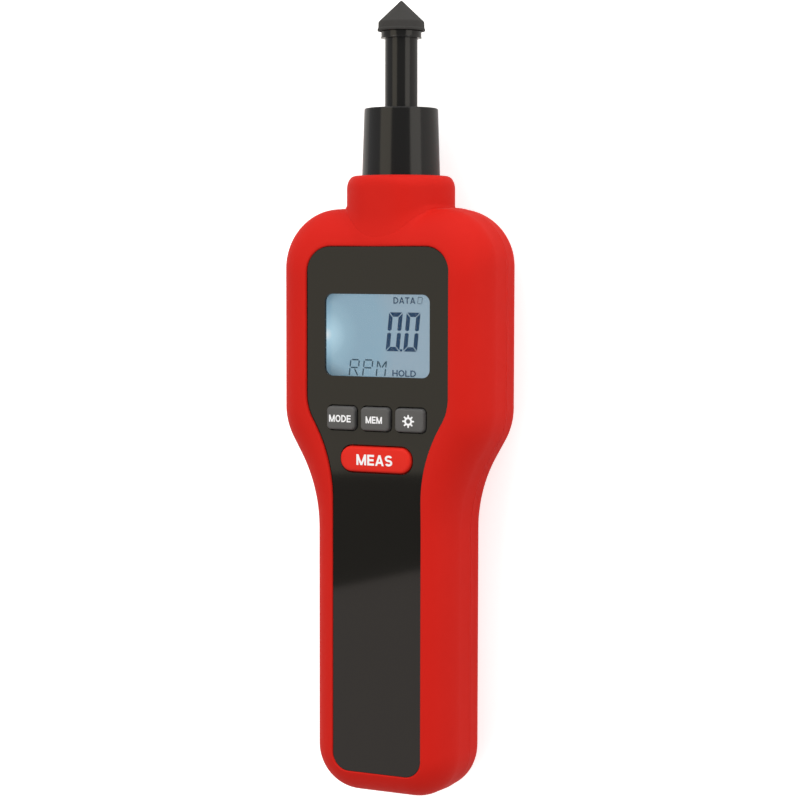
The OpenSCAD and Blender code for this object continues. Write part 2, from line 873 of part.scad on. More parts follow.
// Tapered coil of round wire, swept along its helix.
module battery_springs() {
    wire_r = 0.3;
    turns = 3;
    per_turn = 12;
    sides = 6;
    n = turns * per_turn;
    base = plate_t + seat_gap + nub_l + cell_l + seat_gap;
    l = tray_l - 2 * tray_end - 4 * seat_gap - plate_t - base;
    color("#c9c6bd") for (i = [-1:1]) in_trough(i) translate([0, 0, base + wire_r])
        loft([
            for (k = [0:n])
                let (a = 360 * k / per_turn, r = 2 + 1.4 * k / n, z = (l - 2 * wire_r) * k / n)
                [
                    for (s = [0:sides - 1])
                        let (b = -360 * s / sides, q = r + wire_r * cos(b))
                        [q * cos(a), q * sin(a), z + wire_r * sin(b)]
                ]
        ]);
}

module battery_leads() {
    color("#a02020") for (side = [-1, 1])
        rod(
            [side * 6, tray_top_y + seat_gap + lead_d / 3, z_cells + 3],
            [side * 6, board_foot_y + 1, z_board - board_t - seat_gap - lead_d / 2],
            lead_d
        );
}

// Contact adapter

module adapter_sleeve() {
    root_r = sleeve_root_d / 2;
    top_r = sleeve_top_d / 2;
    edge = 0.4;
    color("#1c1b1a") on_spindle() difference() {
        rotate_extrude() polygon([
            [0, y_socket + seat_gap], [root_r - edge, y_socket + seat_gap],
            [root_r, y_socket + seat_gap + edge], [root_r, y_collar],
            [top_r, y_sleeve - edge], [top_r - edge, y_sleeve], [0, y_sleeve]
        ]);
        translate([0, 0, y_socket - eps]) cylinder(d = bore_d, h = bearing_top + fit_gap - y_socket + eps);
        translate([0, 0, y_socket]) cylinder(d = shaft_d + 2 * run_gap, h = y_sleeve);
        translate([0, 0, bearing_foot - ring_t - seat_gap]) cylinder(d = bore_d + 1, h = ring_t + seat_gap);
    }
}

// Draws a bearing's part at both seats.
module at_bearings() {
    for (y = [bearing_foot, bearing_top - bearing_w]) translate([0, 0, y]) children();
}

module ball_track(gap) {
    rotate_extrude() translate([ball_pitch_r, bearing_w / 2]) circle(d = ball_d + 2 * gap);
}

module outer_races() {
    color("#b9bcc0") on_spindle() at_bearings() difference() {
        tube(bearing_od, bearing_od - 2 * race_t, 0, bearing_w);
        ball_track(fit_gap);
    }
}

module inner_races() {
    color("#b9bcc0") on_spindle() at_bearings() difference() {
        tube(bearing_d + 2 * race_t, bearing_d, 0, bearing_w);
        ball_track(fit_gap);
    }
}

module bearing_balls() {
    color("#d5d8db") on_spindle() at_bearings()
        for (i = [0:ball_count - 1]) rotate(360 * i / ball_count)
            translate([ball_pitch_r, 0, bearing_w / 2]) sphere(d = ball_d);
}

module bearing_spacer() {
    low = bearing_foot + bearing_w + fit_gap;
    color("#9a9da1") on_spindle()
        tube(bearing_od, bearing_od - 2 * race_t, low, bearing_top - bearing_w - fit_gap - low);
}

// Open snap ring in the sleeve's groove, under the lower bearing.
module sleeve_snap_ring() {
    y = bearing_foot - ring_t - fit_gap;
    color("#77797c") on_spindle() difference() {
        tube(bore_d + 0.8, bearing_od - 2 * race_t, y, ring_t - fit_gap);
        block([-1.2, 0, y - eps], [1.2, bearing_od, y + ring_t + eps]);
    }
}

module drive_shaft() {
    r = shaft_d / 2;
    journal_r = bearing_d / 2 - fit_gap;
    shoulder_y = bearing_top + 2 * fit_gap;
    chamfer = 0.5;
    circlip_y = bearing_foot - ring_t - fit_gap;
    color("#201f1e") on_spindle() difference() {
        rotate_extrude() polygon([
            [0, y_socket + 1], [journal_r, y_socket + 1], [journal_r, shoulder_y],
            [journal_r + race_t - 0.2, shoulder_y], [r, shoulder_y + chamfer],
            [r, y_hub], [tip_hub_d / 2, y_hub], [tip_hub_d / 2, y_rim], [tip_spigot_d / 2, y_rim],
            [tip_spigot_d / 2, y_rim + tip_spigot_l - chamfer],
            [tip_spigot_d / 2 - chamfer, y_rim + tip_spigot_l], [0, y_rim + tip_spigot_l]
        ]);
        tube(bearing_d + 1, bearing_d - 1, circlip_y - seat_gap, ring_t + seat_gap);
    }
}

module contact_tip() {
    r = tip_d / 2;
    color("#3a3938") on_spindle() difference() {
        rotate_extrude() polygon([[0, y_rim], [r, y_rim], [r, y_cone], [0, y_tip]]);
        translate([0, 0, y_rim - eps])
            cylinder(d = tip_spigot_d + 2 * fit_gap, h = tip_spigot_l + seat_gap + eps);
    }
}

module shaft_circlip() {
    y = bearing_foot - ring_t - fit_gap;
    color("#77797c") on_spindle() difference() {
        tube(bearing_d + 2, bearing_d - 1 + 2 * fit_gap, y, ring_t - fit_gap);
        block([-1.6, 0, y - eps], [1.6, bearing_d, y + ring_t + eps]);
    }
}

// Disc on the shaft's end that the laser reads, pressed on the journal.
module reflector_disc() {
    y = y_socket + 1 + run_gap;
    color("#d9dcdf") on_spindle() tube(bearing_od - 2.4, bearing_d, y, disc_t);
}

front_shell();
rear_shell();
front_panel();
lcd_lens();
lcd_glass();
backlight_guide();
backlight_led();
zebra_strips();
main_board();
processor_chip();
switch_bodies();
board_screws();
housing_screws();
optics_barrel();
optics_window();
laser_module();
light_receiver();
optics_board();
board_header();
battery_tray();
battery_cells();
battery_springs();
battery_plates();
battery_leads();
mode_key();
memory_key();
backlight_key();
measure_key();
mode_plunger();
memory_plunger();
backlight_plunger();
measure_plunger();
battery_door();
adapter_sleeve();
outer_races();
bearing_balls();
bearing_spacer();
sleeve_snap_ring();
drive_shaft();
contact_tip();
inner_races();
shaft_circlip();
reflector_disc();
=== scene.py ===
"""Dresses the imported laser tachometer: soft red shells, display, keys and contact adapter.

The meter lies on its back. X runs across it, Y along it towards the rubber cone and Z out of its
front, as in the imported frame. Sizes here are in millimetres and turn to metres in the meshes.
"""
import logging
import math
from dataclasses import dataclass, field
from enum import Enum
from typing import Callable, Sequence

import bmesh
import bpy
import numpy as np
from mathutils import Matrix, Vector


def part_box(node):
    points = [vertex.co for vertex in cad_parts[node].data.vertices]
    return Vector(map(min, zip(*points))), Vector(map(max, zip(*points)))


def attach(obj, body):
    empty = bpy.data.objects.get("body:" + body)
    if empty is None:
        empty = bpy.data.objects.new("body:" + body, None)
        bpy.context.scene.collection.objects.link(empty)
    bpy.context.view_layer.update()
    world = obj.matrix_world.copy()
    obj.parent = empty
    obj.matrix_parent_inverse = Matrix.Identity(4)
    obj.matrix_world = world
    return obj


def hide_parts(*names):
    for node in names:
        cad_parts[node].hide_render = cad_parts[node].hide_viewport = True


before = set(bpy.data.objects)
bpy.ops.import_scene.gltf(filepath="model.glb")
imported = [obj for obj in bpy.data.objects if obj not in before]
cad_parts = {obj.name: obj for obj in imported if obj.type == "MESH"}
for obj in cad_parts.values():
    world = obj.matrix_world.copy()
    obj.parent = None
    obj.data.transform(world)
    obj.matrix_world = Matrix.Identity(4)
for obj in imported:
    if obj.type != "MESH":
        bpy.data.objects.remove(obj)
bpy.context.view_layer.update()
MM = 0.001
Array = np.ndarray
log = logging.getLogger("tachometer")


# Frame


def node_box(node: str) -> tuple[Array, Array]:
    """Gives the lowest and highest corners of a CAD node in millimetres."""
    low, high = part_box(node)
    return np.array(low) / MM, np.array(high) / MM


# Materials


def linear(colour: str) -> tuple[float, float, float, float]:
    """Turns an sRGB hex colour into a linear one.

    Args:
        colour: Six hex digits after a hash sign.

    Returns:
        Linear red, green, blue and an alpha of 1.
    """
    parts = [int(colour[i:i + 2], 16) / 255 for i in (1, 3, 5)]
    curve = [c / 12.92 if c <= 0.04045 else ((c + 0.055) / 1.055) ** 2.4 for c in parts]
    return (*curve, 1.0)


def add_node(tree: bpy.types.NodeTree, kind: str, settings: dict | None = None,
             links: dict | None = None) -> bpy.types.Node:
    """Adds a node with its settings and its links.

    Args:
        tree: Node tree that gets the node.
        kind: Blender's name of the node type.
        settings: Values by socket name or number, or by attribute name where no socket has it.
        links: Output sockets of other nodes, by the name or number of the socket that they feed.

    Returns:
        The new node.
    """
    node = tree.nodes.new(kind)
    for name, value in (settings or {}).items():
        if isinstance(name, int) or name in node.inputs:
            node.inputs[name].default_value = value
        else:
            setattr(node, name, value)
    for name, output in (links or {}).items():
        tree.links.new(output, node.inputs[name])
    return node


def new_tree(name: str) -> tuple[bpy.types.Material, bpy.types.NodeTree]:
    """Makes an empty node material.

    Args:
        name: Name of the material.

    Returns:
        The material and its node tree.
    """
    material = bpy.data.materials.new(name)
    material.use_nodes = True
    material.node_tree.nodes.clear()
    return material, material.node_tree


@dataclass(frozen=True)
class Finish:
    """A moulded, cast or printed surface with fine grain and slight variation of tone.

    The grain is a noise at its real size. It drives a bump in metres, and a second, broader noise
    moves the colour between two tones and the roughness between two values.
    """

    name: str
    tone: str
    shade: str
    roughness: tuple[float, float]
    grain_mm: float = 0.35
    grain_depth_mm: float = 0.01
    patch_mm: float = 12.0
    fixed: dict = field(default_factory=dict, hash=False)

    def material(self) -> bpy.types.Material:
        """Returns the finish's material, made on first use."""
        if self.name in bpy.data.materials:
            return bpy.data.materials[self.name]
        material, tree = new_tree(self.name)
        place = add_node(tree, "ShaderNodeTexCoord").outputs["Object"]
        grain = add_node(tree, "ShaderNodeTexNoise",
                         {"Scale": 1 / (self.grain_mm * MM), "Detail": 2.0}, {"Vector": place})
        patch = add_node(tree, "ShaderNodeTexNoise",
                         {"Scale": 1 / (self.patch_mm * MM), "Detail": 3.0}, {"Vector": place})
        tone = add_node(tree, "ShaderNodeMix",
                        {"data_type": "RGBA", 6: linear(self.tone), 7: linear(self.shade)},
                        {0: patch.outputs["Fac"]})
        rough = add_node(tree, "ShaderNodeMapRange",
                         {"To Min": self.roughness[0], "To Max": self.roughness[1]},
                         {"Value": grain.outputs["Fac"]})
        bump = add_node(tree, "ShaderNodeBump", {"Distance": self.grain_depth_mm * MM},
                        {"Height": grain.outputs["Fac"]})
        shader = add_node(tree, "ShaderNodeBsdfPrincipled", self.fixed, {
            "Base Color": tone.outputs[2], "Roughness": rough.outputs["Result"],
            "Normal": bump.outputs["Normal"]})
        add_node(tree, "ShaderNodeOutputMaterial", None, {"Surface": shader.outputs["BSDF"]})
        return material


@dataclass(frozen=True)
class DisplayFinish:
    """Display cell lit from its left edge by a lamp behind the glass.

    The tone follows the distance from the lamp: white beside it, then pale blue, then the grey blue
    of the resting cell. The corners beside the lamp lie outside its fan of light and are dimmer. The
    light is the cell's own, so the frame round it casts no shade on it.
    """

    name: str
    lamp_mm: tuple[float, float, float]
    reach_mm: tuple[float, float]
    fan_mm: tuple[float, float, float]
    fan_reach_mm: tuple[float, float]
    tones: tuple[tuple[float, str], ...] = (
        (0.0, "#92abbd"), (0.25, "#88abc0"), (0.55, "#88abc0"), (0.72, "#92b7cb"),
        (0.92, "#b6dcee"), (1.0, "#eefaff"))
    cell: str = "#20282c"
    glow: float = 0.90
    corner: float = 0.60
    corner_edge: float = 0.20
    roughness: float = 0.35

    @staticmethod
    def spot(tree: bpy.types.NodeTree, middle_mm: Sequence[float],
             reach_mm: Sequence[float]) -> bpy.types.NodeSocket:
        """Adds an oval that is 1 in its middle and falls evenly to 0 at its reach.

        Args:
            tree: Node tree that gets the nodes.
            middle_mm: Middle of the oval.
            reach_mm: Half its length along x and along y.

        Returns:
            The socket with the value.
        """
        place = add_node(tree, "ShaderNodeTexCoord").outputs["Object"]
        centred = add_node(tree, "ShaderNodeMapping",
                           {"vector_type": "TEXTURE", "Location": [c * MM for c in middle_mm],
                            "Scale": (reach_mm[0] * MM, reach_mm[1] * MM, 1.0)}, {"Vector": place})
        return add_node(tree, "ShaderNodeTexGradient", {"gradient_type": "SPHERICAL"},
                        {"Vector": centred.outputs["Vector"]}).outputs["Fac"]

    def material(self) -> bpy.types.Material:
        """Returns the display's material, made on first use."""
        if self.name in bpy.data.materials:
            return bpy.data.materials[self.name]
        material, tree = new_tree(self.name)
        ramp = add_node(tree, "ShaderNodeValToRGB", None,
                        {"Fac": self.spot(tree, self.lamp_mm, self.reach_mm)})
        steps = ramp.color_ramp.elements
        while len(steps) < len(self.tones):
            steps.new(0.5)
        for step, (position, tone) in zip(steps, self.tones):
            step.position = position
            step.color = linear(tone)
        dim = add_node(tree, "ShaderNodeMapRange",
                       {"interpolation_type": "SMOOTHSTEP", "From Max": self.corner_edge,
                        "To Min": self.corner, "To Max": 1.0},
                       {"Value": self.spot(tree, self.fan_mm, self.fan_reach_mm)})
        light = add_node(tree, "ShaderNodeMix",
                         {"data_type": "RGBA", "blend_type": "MULTIPLY", 0: 1.0},
                         {6: ramp.outputs["Color"], 7: dim.outputs["Result"]})
        shader = add_node(tree, "ShaderNodeBsdfPrincipled",
                          {"Base Color": linear(self.cell), "Roughness": self.roughness,
                           "Emission Strength": self.glow},
                          {"Emission Color": light.outputs[2]})
        add_node(tree, "ShaderNodeOutputMaterial", None, {"Surface": shader.outputs["BSDF"]})
        return material


@dataclass(frozen=True)
class TableFinish:
    """Matte white table top that glows a little to the camera, so that it looks nearly pure white."""

    name: str
    tone: str = "#f0f0f0"
    glow_tone: str = "#ffffff"
    glow: float = 0.62

    def material(self) -> bpy.types.Material:
        """Returns a new material of the table."""
        material, tree = new_tree(self.name)
        path = add_node(tree, "ShaderNodeLightPath").outputs
        matte = add_node(tree, "ShaderNodeBsdfDiffuse", {"Color": linear(self.tone)}).outputs["BSDF"]
        glow = add_node(tree, "ShaderNodeEmission",
                        {"Color": linear(self.glow_tone), "Strength": self.glow})
        both = add_node(tree, "ShaderNodeAddShader", None, {0: matte, 1: glow.outputs["Emission"]})
        mix = add_node(tree, "ShaderNodeMixShader", None,
                       {"Fac": path["Is Camera Ray"], 1: matte, 2: both.outputs["Shader"]})
        add_node(tree, "ShaderNodeOutputMaterial", None, {"Surface": mix.outputs["Shader"]})
        return material


AnyFinish = Finish | DisplayFinish | TableFinish

# Soft-touch coated ABS: even matte red with a faint pale sheen where it turns away.
RED_SHELL = Finish("Soft-touch red ABS", "#cd2118", "#c41d15", (0.55, 0.65), 0.30, 0.006, 25.0,
                   {"Sheen Weight": 0.09, "Sheen Roughness": 0.22,
                    "Sheen Tint": linear("#ffd6d0"), "Specular IOR Level": 0.08})
# Back-printed polycarbonate film: near black with a smooth satin shine.
PANEL_FILM = Finish("Satin black panel film", "#16140f", "#13110d", (0.035, 0.05), 0.6, 0.0002, 30.0,
                    {"Specular IOR Level": 0.23})
# Silicone keys: mid grey, dull, with a fine tooth.
GREY_RUBBER = Finish("Grey silicone key", "#585858", "#525252", (0.50, 0.60), 0.25, 0.006, 6.0,
                     {"Specular IOR Level": 0.25})
# The same rubber in signal red: a little brighter than the case, so the key stands out.
RED_RUBBER = Finish("Red silicone key", "#de271a", "#d62317", (0.45, 0.55), 0.25, 0.006, 8.0,
                    {"Specular IOR Level": 0.15})
# Polished ABS: deep black that mirrors the lamps as clear bands.
GLOSS_BLACK = Finish("Polished black ABS", "#141312", "#11100f", (0.13, 0.18), 0.8, 0.001, 15.0,
                     {"Specular IOR Level": 0.32})
# Nitrile rubber: charcoal, dusty and without shine.
CONE_RUBBER = Finish("Charcoal nitrile rubber", "#393837", "#323130", (0.72, 0.82), 0.3, 0.015, 4.0,
                     {"Specular IOR Level": 0.25})
# Pad printing ink: flat, slightly cool white that reads at a glance.
WHITE_INK = Finish("White pad print", "#f2f4f8", "#eceef2", (0.45, 0.55), 0.2, 0.002, 4.0)
# Dark display segments: slate blue, as flat as the cell that they lie on.
SEGMENT_INK = Finish("Dark blue display segment", "#2f4b6c", "#2b4564", (0.6, 0.7), 0.5, 0.001, 5.0,
                     {"Specular IOR Level": 0.1})
# Thin display segments: the same blue, paler, as fine lines look through the glass.
FAINT_INK = Finish("Thin display segment", "#40596a", "#3a5262", (0.6, 0.7), 0.5, 0.001, 5.0,
                   {"Specular IOR Level": 0.1})
# Clear acrylic: hardly seen itself, with a weak reflection over the display.
CLEAR_LENS = Finish("Clear acrylic lens", "#2b3436", "#283133", (0.05, 0.07), 2.0, 0.0003, 20.0,
                    {"Alpha": 0.06, "IOR": 1.49})
# Plain ABS of the inner mouldings: dull black that swallows light inside the case.
MATTE_BLACK = Finish("Matte black ABS", "#1d1d1d", "#191919", (0.50, 0.60), 0.3, 0.008, 10.0)
# Solder mask over glass fibre: mid green with a soft shine.
SOLDER_MASK = Finish("Green solder mask", "#1f6d3b", "#1a5c33", (0.30, 0.40), 1.2, 0.01, 5.0)
# Moulding compound of a chip: black grey and finely gritty.
EPOXY_BLACK = Finish("Moulded epoxy", "#1b1b1d", "#151517", (0.45, 0.60), 0.15, 0.01, 4.0)
# Zinc plating: cool grey metal with a broken shine.
ZINC_STEEL = Finish("Zinc plated steel", "#a2a5a8", "#8e9194", (0.28, 0.40), 0.3, 0.004, 3.0,
                    {"Metallic": 1.0})
# Ground steel: bright metal with sharp reflections on races and balls.
BEARING_STEEL = Finish("Ground bearing steel", "#c6c8ca", "#b7babd", (0.10, 0.18), 0.2, 0.001, 3.0,
                       {"Metallic": 1.0})
# Brass from the lathe: warm yellow metal with a silky shine.
TURNED_BRASS = Finish("Turned brass", "#c9a45c", "#b8934e", (0.22, 0.34), 0.2, 0.003, 3.0,
                      {"Metallic": 1.0})
# Nickel plating: bright, slightly warm metal on springs and plates.
NICKEL = Finish("Nickel plated spring steel", "#cfcabf", "#bdb8ad", (0.18, 0.28), 0.2, 0.002, 3.0,
                {"Metallic": 1.0})
# Reflective film: close to a mirror, to send the laser back.
MIRROR_FILM = Finish("Reflective film", "#e4e6e8", "#d6d9dc", (0.08, 0.14), 0.3, 0.002, 3.0,
                     {"Metallic": 1.0})
# Red filter acrylic: dark red and glassy, so that the optics behind it only show faintly.
RED_GLASS = Finish("Red filter acrylic", "#8f1a20", "#84161c", (0.06, 0.09), 1.0, 0.0005, 8.0,
                   {"Alpha": 0.75, "IOR": 1.49})
# Receiver epoxy: nearly black and glassy, with a violet cast.
TINTED_EPOXY = Finish("Tinted receiver epoxy", "#1b171d", "#151218", (0.10, 0.16), 0.5, 0.001, 4.0)
# Shrink wrap: glossy mid blue round each cell.
CELL_WRAP = Finish("Shrink-wrapped cell", "#2f63a0", "#28568d", (0.25, 0.34), 0.8, 0.003, 9.0)
# Wire insulation: waxy dark red.
WIRE_PVC = Finish("Red wire insulation", "#b3262a", "#a32025", (0.38, 0.48), 0.3, 0.004, 3.0)
# Milky acrylic: soft white that spreads the light of the lamp.
MILK_ACRYLIC = Finish("Milky light guide acrylic", "#f1f3ef", "#e8ebe6", (0.20, 0.30), 0.6, 0.002, 6.0)
# Lamp epoxy: pale warm yellow with a smooth shine.
LAMP_EPOXY = Finish("Lamp epoxy", "#fdf6d8", "#f6edc8", (0.18, 0.26), 0.3, 0.002, 2.0)
# Carbon striped elastomer: dull dark grey, finely mottled.
CARBON_RUBBER = Finish("Carbon striped elastomer", "#3b3b3d", "#2c2c2e", (0.60, 0.75), 0.12, 0.01, 0.5)
# Nylon: off-white and waxy.
WHITE_NYLON = Finish("White nylon plunger", "#e9e5db", "#dfdbd1", (0.38, 0.48), 0.3, 0.004, 3.0)

NODE_FINISHES: dict[str, Finish] = {
    "front_panel": PANEL_FILM, "lcd_lens": CLEAR_LENS, "backlight_guide": MILK_ACRYLIC,
    "backlight_led": LAMP_EPOXY, "zebra_strips": CARBON_RUBBER, "main_board": SOLDER_MASK,
    "processor_chip": EPOXY_BLACK, "switch_bodies": MATTE_BLACK, "board_screws": ZINC_STEEL,
    "housing_screws": ZINC_STEEL, "optics_barrel": MATTE_BLACK, "optics_window": RED_GLASS,
    "laser_module": TURNED_BRASS, "light_receiver": TINTED_EPOXY, "optics_board": SOLDER_MASK,
    "board_header": MATTE_BLACK, "battery_tray": MATTE_BLACK, "battery_cells": CELL_WRAP,
    "battery_springs": NICKEL, "battery_plates": NICKEL, "battery_leads": WIRE_PVC,
    "mode_plunger": WHITE_NYLON, "memory_plunger": WHITE_NYLON, "backlight_plunger": WHITE_NYLON,
    "measure_plunger": WHITE_NYLON, "outer_races": BEARING_STEEL, "bearing_balls": BEARING_STEEL,
    "bearing_spacer": ZINC_STEEL, "sleeve_snap_ring": ZINC_STEEL, "inner_races": BEARING_STEEL,
    "shaft_circlip": ZINC_STEEL, "reflector_disc": MIRROR_FILM,
}


# Meshes


# Edges that turn by more than this many degrees stay sharp
SMOOTH_DEG = 35.0


class Wrap(Enum):
    """Which way a grid of points closes on itself."""

    NONE = (False, False)
    ROUND = (True, False)
    BOTH = (True, True)


class Cut(Enum):
    """What a cutter does to a piece, by Blender's name for it."""

    AWAY = "DIFFERENCE"
    KEEP = "INTERSECT"


def grid_faces(rows: int, columns: int, wrap: Wrap, first: int = 0) -> Array:
    """Gives the quads of a grid of points, in row-major order.

    Args:
        rows: Number of rows of points.
        columns: Number of points in a row.
        wrap: Whether the columns, or the columns and the rows, close into a ring.
        first: Index of the grid's first point.

    Returns:
        Array of four point indices a face, turning left from one row to the next.
    """
    around, along = wrap.value
    i = np.arange(rows if along else rows - 1)[:, None]
    j = np.arange(columns if around else columns - 1)[None, :]
    i2, j2 = (i + 1) % rows, (j + 1) % columns
    quads = np.stack([i * columns + j, i * columns + j2, i2 * columns + j2, i2 * columns + j], -1)
    return quads.reshape(-1, 4) + first


@dataclass
class Piece:
    """A mesh in the making: points in millimetres and faces of any number of corners."""

    name: str
    points: list[Array] = field(default_factory=list)
    faces: list[list[int]] = field(default_factory=list)

    def add_grid(self, grid: Array, wrap: Wrap, caps: bool = False) -> None:
        """Adds a grid of points as a surface.

        Args:
            grid: Points, shaped rows by columns by 3.
            wrap: How the grid closes on itself.
            caps: Whether the first and the last row get a face across them.
        """
        rows, columns = grid.shape[:2]
        first = sum(len(p) for p in self.points)
        self.points.append(grid.reshape(-1, 3))
        self.faces += grid_faces(rows, columns, wrap, first).tolist()
        if caps:
            self.faces.append(list(range(first + columns - 1, first - 1, -1)))
            self.faces.append(list(range(first + (rows - 1) * columns, first + rows * columns)))

    def add_faces(self, points: Array, faces: Sequence[Sequence[int]]) -> None:
        """Adds loose points and the faces between them.

        Args:
            points: Points in millimetres.
            faces: Corners of each face, counted from the first of these points.
        """
        first = sum(len(p) for p in self.points)
        self.points.append(np.asarray(points, float))
        self.faces += [[first + k for k in face] for face in faces]

    def add_prism(self, corners: Array, low: float, high: float) -> None:
        """Adds a closed upright prism.

        Args:
            corners: Corners of its outline as x and y, turning left.
            low: Height of its underside.
            high: Height of its top.
        """
        count = len(corners)
        points = np.concatenate([np.column_stack([corners, np.full(count, z)]) for z in (low, high)])
        sides = [(k, (k + 1) % count, count + (k + 1) % count, count + k) for k in range(count)]
        self.add_faces(points, [range(count - 1, -1, -1), range(count, 2 * count), *sides])

    def add_block(self, low: Sequence[float], high: Sequence[float]) -> None:
        """Adds a closed block between two corners."""
        self.add_prism(bar(low[0], high[0], low[1], high[1]), low[2], high[2])

    def add_pair(self, low: Sequence[float], high: Sequence[float]) -> None:
        """Adds a closed block and its mirror image across the meter."""
        self.add_block((-high[0], *low[1:]), (-low[0], *high[1:]))
        self.add_block(low, high)

    def build(self, finish: AnyFinish, smooth_deg: float = SMOOTH_DEG) -> bpy.types.Object:
        """Makes the object, in metres and at the origin.

        Args:
            finish: Finish of the whole piece.
            smooth_deg: Edges that turn by more than this stay sharp.

        Returns:
            The new object, linked to the scene.
        """
        mesh = bpy.data.meshes.new(self.name)
        mesh.from_pydata(np.concatenate(self.points) * MM, [], self.faces)
        item = bpy.data.objects.new(self.name, mesh)
        bpy.context.scene.collection.objects.link(item)
        return shade(item, finish, smooth_deg)


def shade(item: bpy.types.Object, finish: AnyFinish, smooth_deg: float = SMOOTH_DEG) -> bpy.types.Object:
    """Closes what a cut left open in a mesh, smooths it and gives it its finish.

    Args:
        item: Object to shade.
        finish: Finish of the whole piece.
        smooth_deg: Edges that turn by more than this stay sharp.

    Returns:
        The same object.
    """
    mesh = item.data
    work = bmesh.new()
    work.from_mesh(mesh)
    bmesh.ops.holes_fill(work, edges=work.edges[:], sides=4)
    work.to_mesh(mesh)
    work.free()
    mesh.validate()
    mesh.shade_smooth()
    mesh.set_sharp_from_angle(angle=math.radians(smooth_deg))
    return cover(item, finish)


def cover(item: bpy.types.Object, finish: AnyFinish) -> bpy.types.Object:
    """Gives an object one finish all over.

    Args:
        item: Object to cover.
        finish: Finish that replaces its materials.

    Returns:
        The same object.
    """
    item.data.materials.clear()
    item.data.materials.append(finish.material())
    return item


def revolve(profile: Array, axis_z: float, sides: int = 128) -> Array:
    """Carries a profile of radius and place round the spindle axis.

    Args:
        profile: Points of radius and y, from one end to the other.
        axis_z: Height of the axis.
        sides: Number of points round the axis.

    Returns:
        Points (r sin a, y, axis + r cos a), shaped profile by sides by 3.
    """
    a = np.linspace(0, 2 * math.pi, sides, endpoint=False)
    r, y = profile[:, :1], profile[:, 1:]
    return np.stack(np.broadcast_arrays(r * np.sin(a), y, axis_z + r * np.cos(a)), -1)


def rounded(profile: Sequence[tuple[float, float, float]], steps: int = 6) -> Array:
    """Rounds the corners of a profile.

    Each corner is replaced by points of the quadratic curve from one tangent point to the other.

    Args:
        profile: Corners as radius, y and size of the rounding.
        steps: Points on each rounding.

    Returns:
        The profile's points.
    """
    out = []
    for k, (r, y, size) in enumerate(profile):
        here = np.array([r, y])
        if size == 0 or k in (0, len(profile) - 1):
            out.append(here[None])
            continue
        before = np.array(profile[k - 1][:2]) - here
        after = np.array(profile[k + 1][:2]) - here
        a = here + before / np.linalg.norm(before) * size
        b = here + after / np.linalg.norm(after) * size
        t = np.linspace(0, 1, steps)[:, None]
        out.append((1 - t) ** 2 * a + 2 * t * (1 - t) * here + t ** 2 * b)
    return np.concatenate(out)


def cut_with(item: bpy.types.Object, cutter: Piece, cut: Cut) -> None:
    """Cuts a closed piece with another, and keeps the result as its mesh.

    Args:
        item: Object to cut.
        cutter: Closed piece to cut with.
        cut: Whether what lies in the cutter goes away or is all that is kept.
    """
    tool = cutter.build(RED_SHELL)
    step = item.modifiers.new("cut", "BOOLEAN")
    step.operation = cut.value
    step.solver = "EXACT"
    step.object = tool
    graph = bpy.context.evaluated_depsgraph_get()
    mesh = bpy.data.meshes.new_from_object(item.evaluated_get(graph))
    item.modifiers.clear()
    old = item.data
    item.data = mesh
    mesh.name = item.name
    bpy.data.meshes.remove(old)
    bpy.data.objects.remove(tool)


def join_mesh(item: bpy.types.Object, extra: Piece) -> None:
    """Adds a piece's surfaces to an object's mesh.

    Args:
        item: Object that gets them.
        extra: Piece in millimetres.
    """
    old = item.data
    count = len(old.vertices)
    points = np.empty(count * 3)
    old.vertices.foreach_get("co", points)
    faces = [list(p.vertices) for p in old.polygons]
    faces += [[count + k for k in face] for face in extra.faces]
    mesh = bpy.data.meshes.new(item.name)
    added = np.concatenate(extra.points) * MM
    mesh.from_pydata(np.concatenate([points.reshape(-1, 3), added]), [], faces)
    item.data = mesh
    bpy.data.meshes.remove(old)


def place(item: bpy.types.Object, body: str, slot: str, *nodes: str) -> None:
    """Rides a piece on a body and stands it in for CAD nodes.

    Args:
        item: The finished piece.
        body: Body of the frame that carries it.
        slot: Material slot; not used.
        nodes: CAD nodes that the piece replaces.
    """
    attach(item, body)
    if nodes:
        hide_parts(*nodes)
    log.info("%s: %d faces on %s", item.name, len(item.data.polygons), body)


# Outline of tangent arcs


@dataclass(frozen=True)
class Line:
    """A straight line of an outline, with the inside on its left."""

    start: tuple[float, float]
    end: tuple[float, float]
    count: int

    def samples(self) -> tuple[Array, Array]:
        """Samples the line from its start, short of its end.

        Returns:
            Points and outward unit normals.
        """
        a, b = np.array(self.start), np.array(self.end)
        t = (np.arange(self.count) / self.count)[:, None]
        way = (b - a) / np.linalg.norm(b - a)
        return a + t * (b - a), np.repeat([[way[1], -way[0]]], self.count, 0)

    def distance(self, p: Array) -> tuple[Array, Array]:
        """Measures how far points lie from the line.

        Args:
            p: Points, with x and y on the last axis.

        Returns:
            The distance, and a value that is below zero on the inside.
        """
        a, b = np.array(self.start), np.array(self.end)
        span = b - a
        t = np.clip(((p - a) @ span) / (span @ span), 0, 1)
        gap = p - (a + t[..., None] * span)
        return np.linalg.norm(gap, axis=-1), gap[..., 0] * span[1] - gap[..., 1] * span[0]


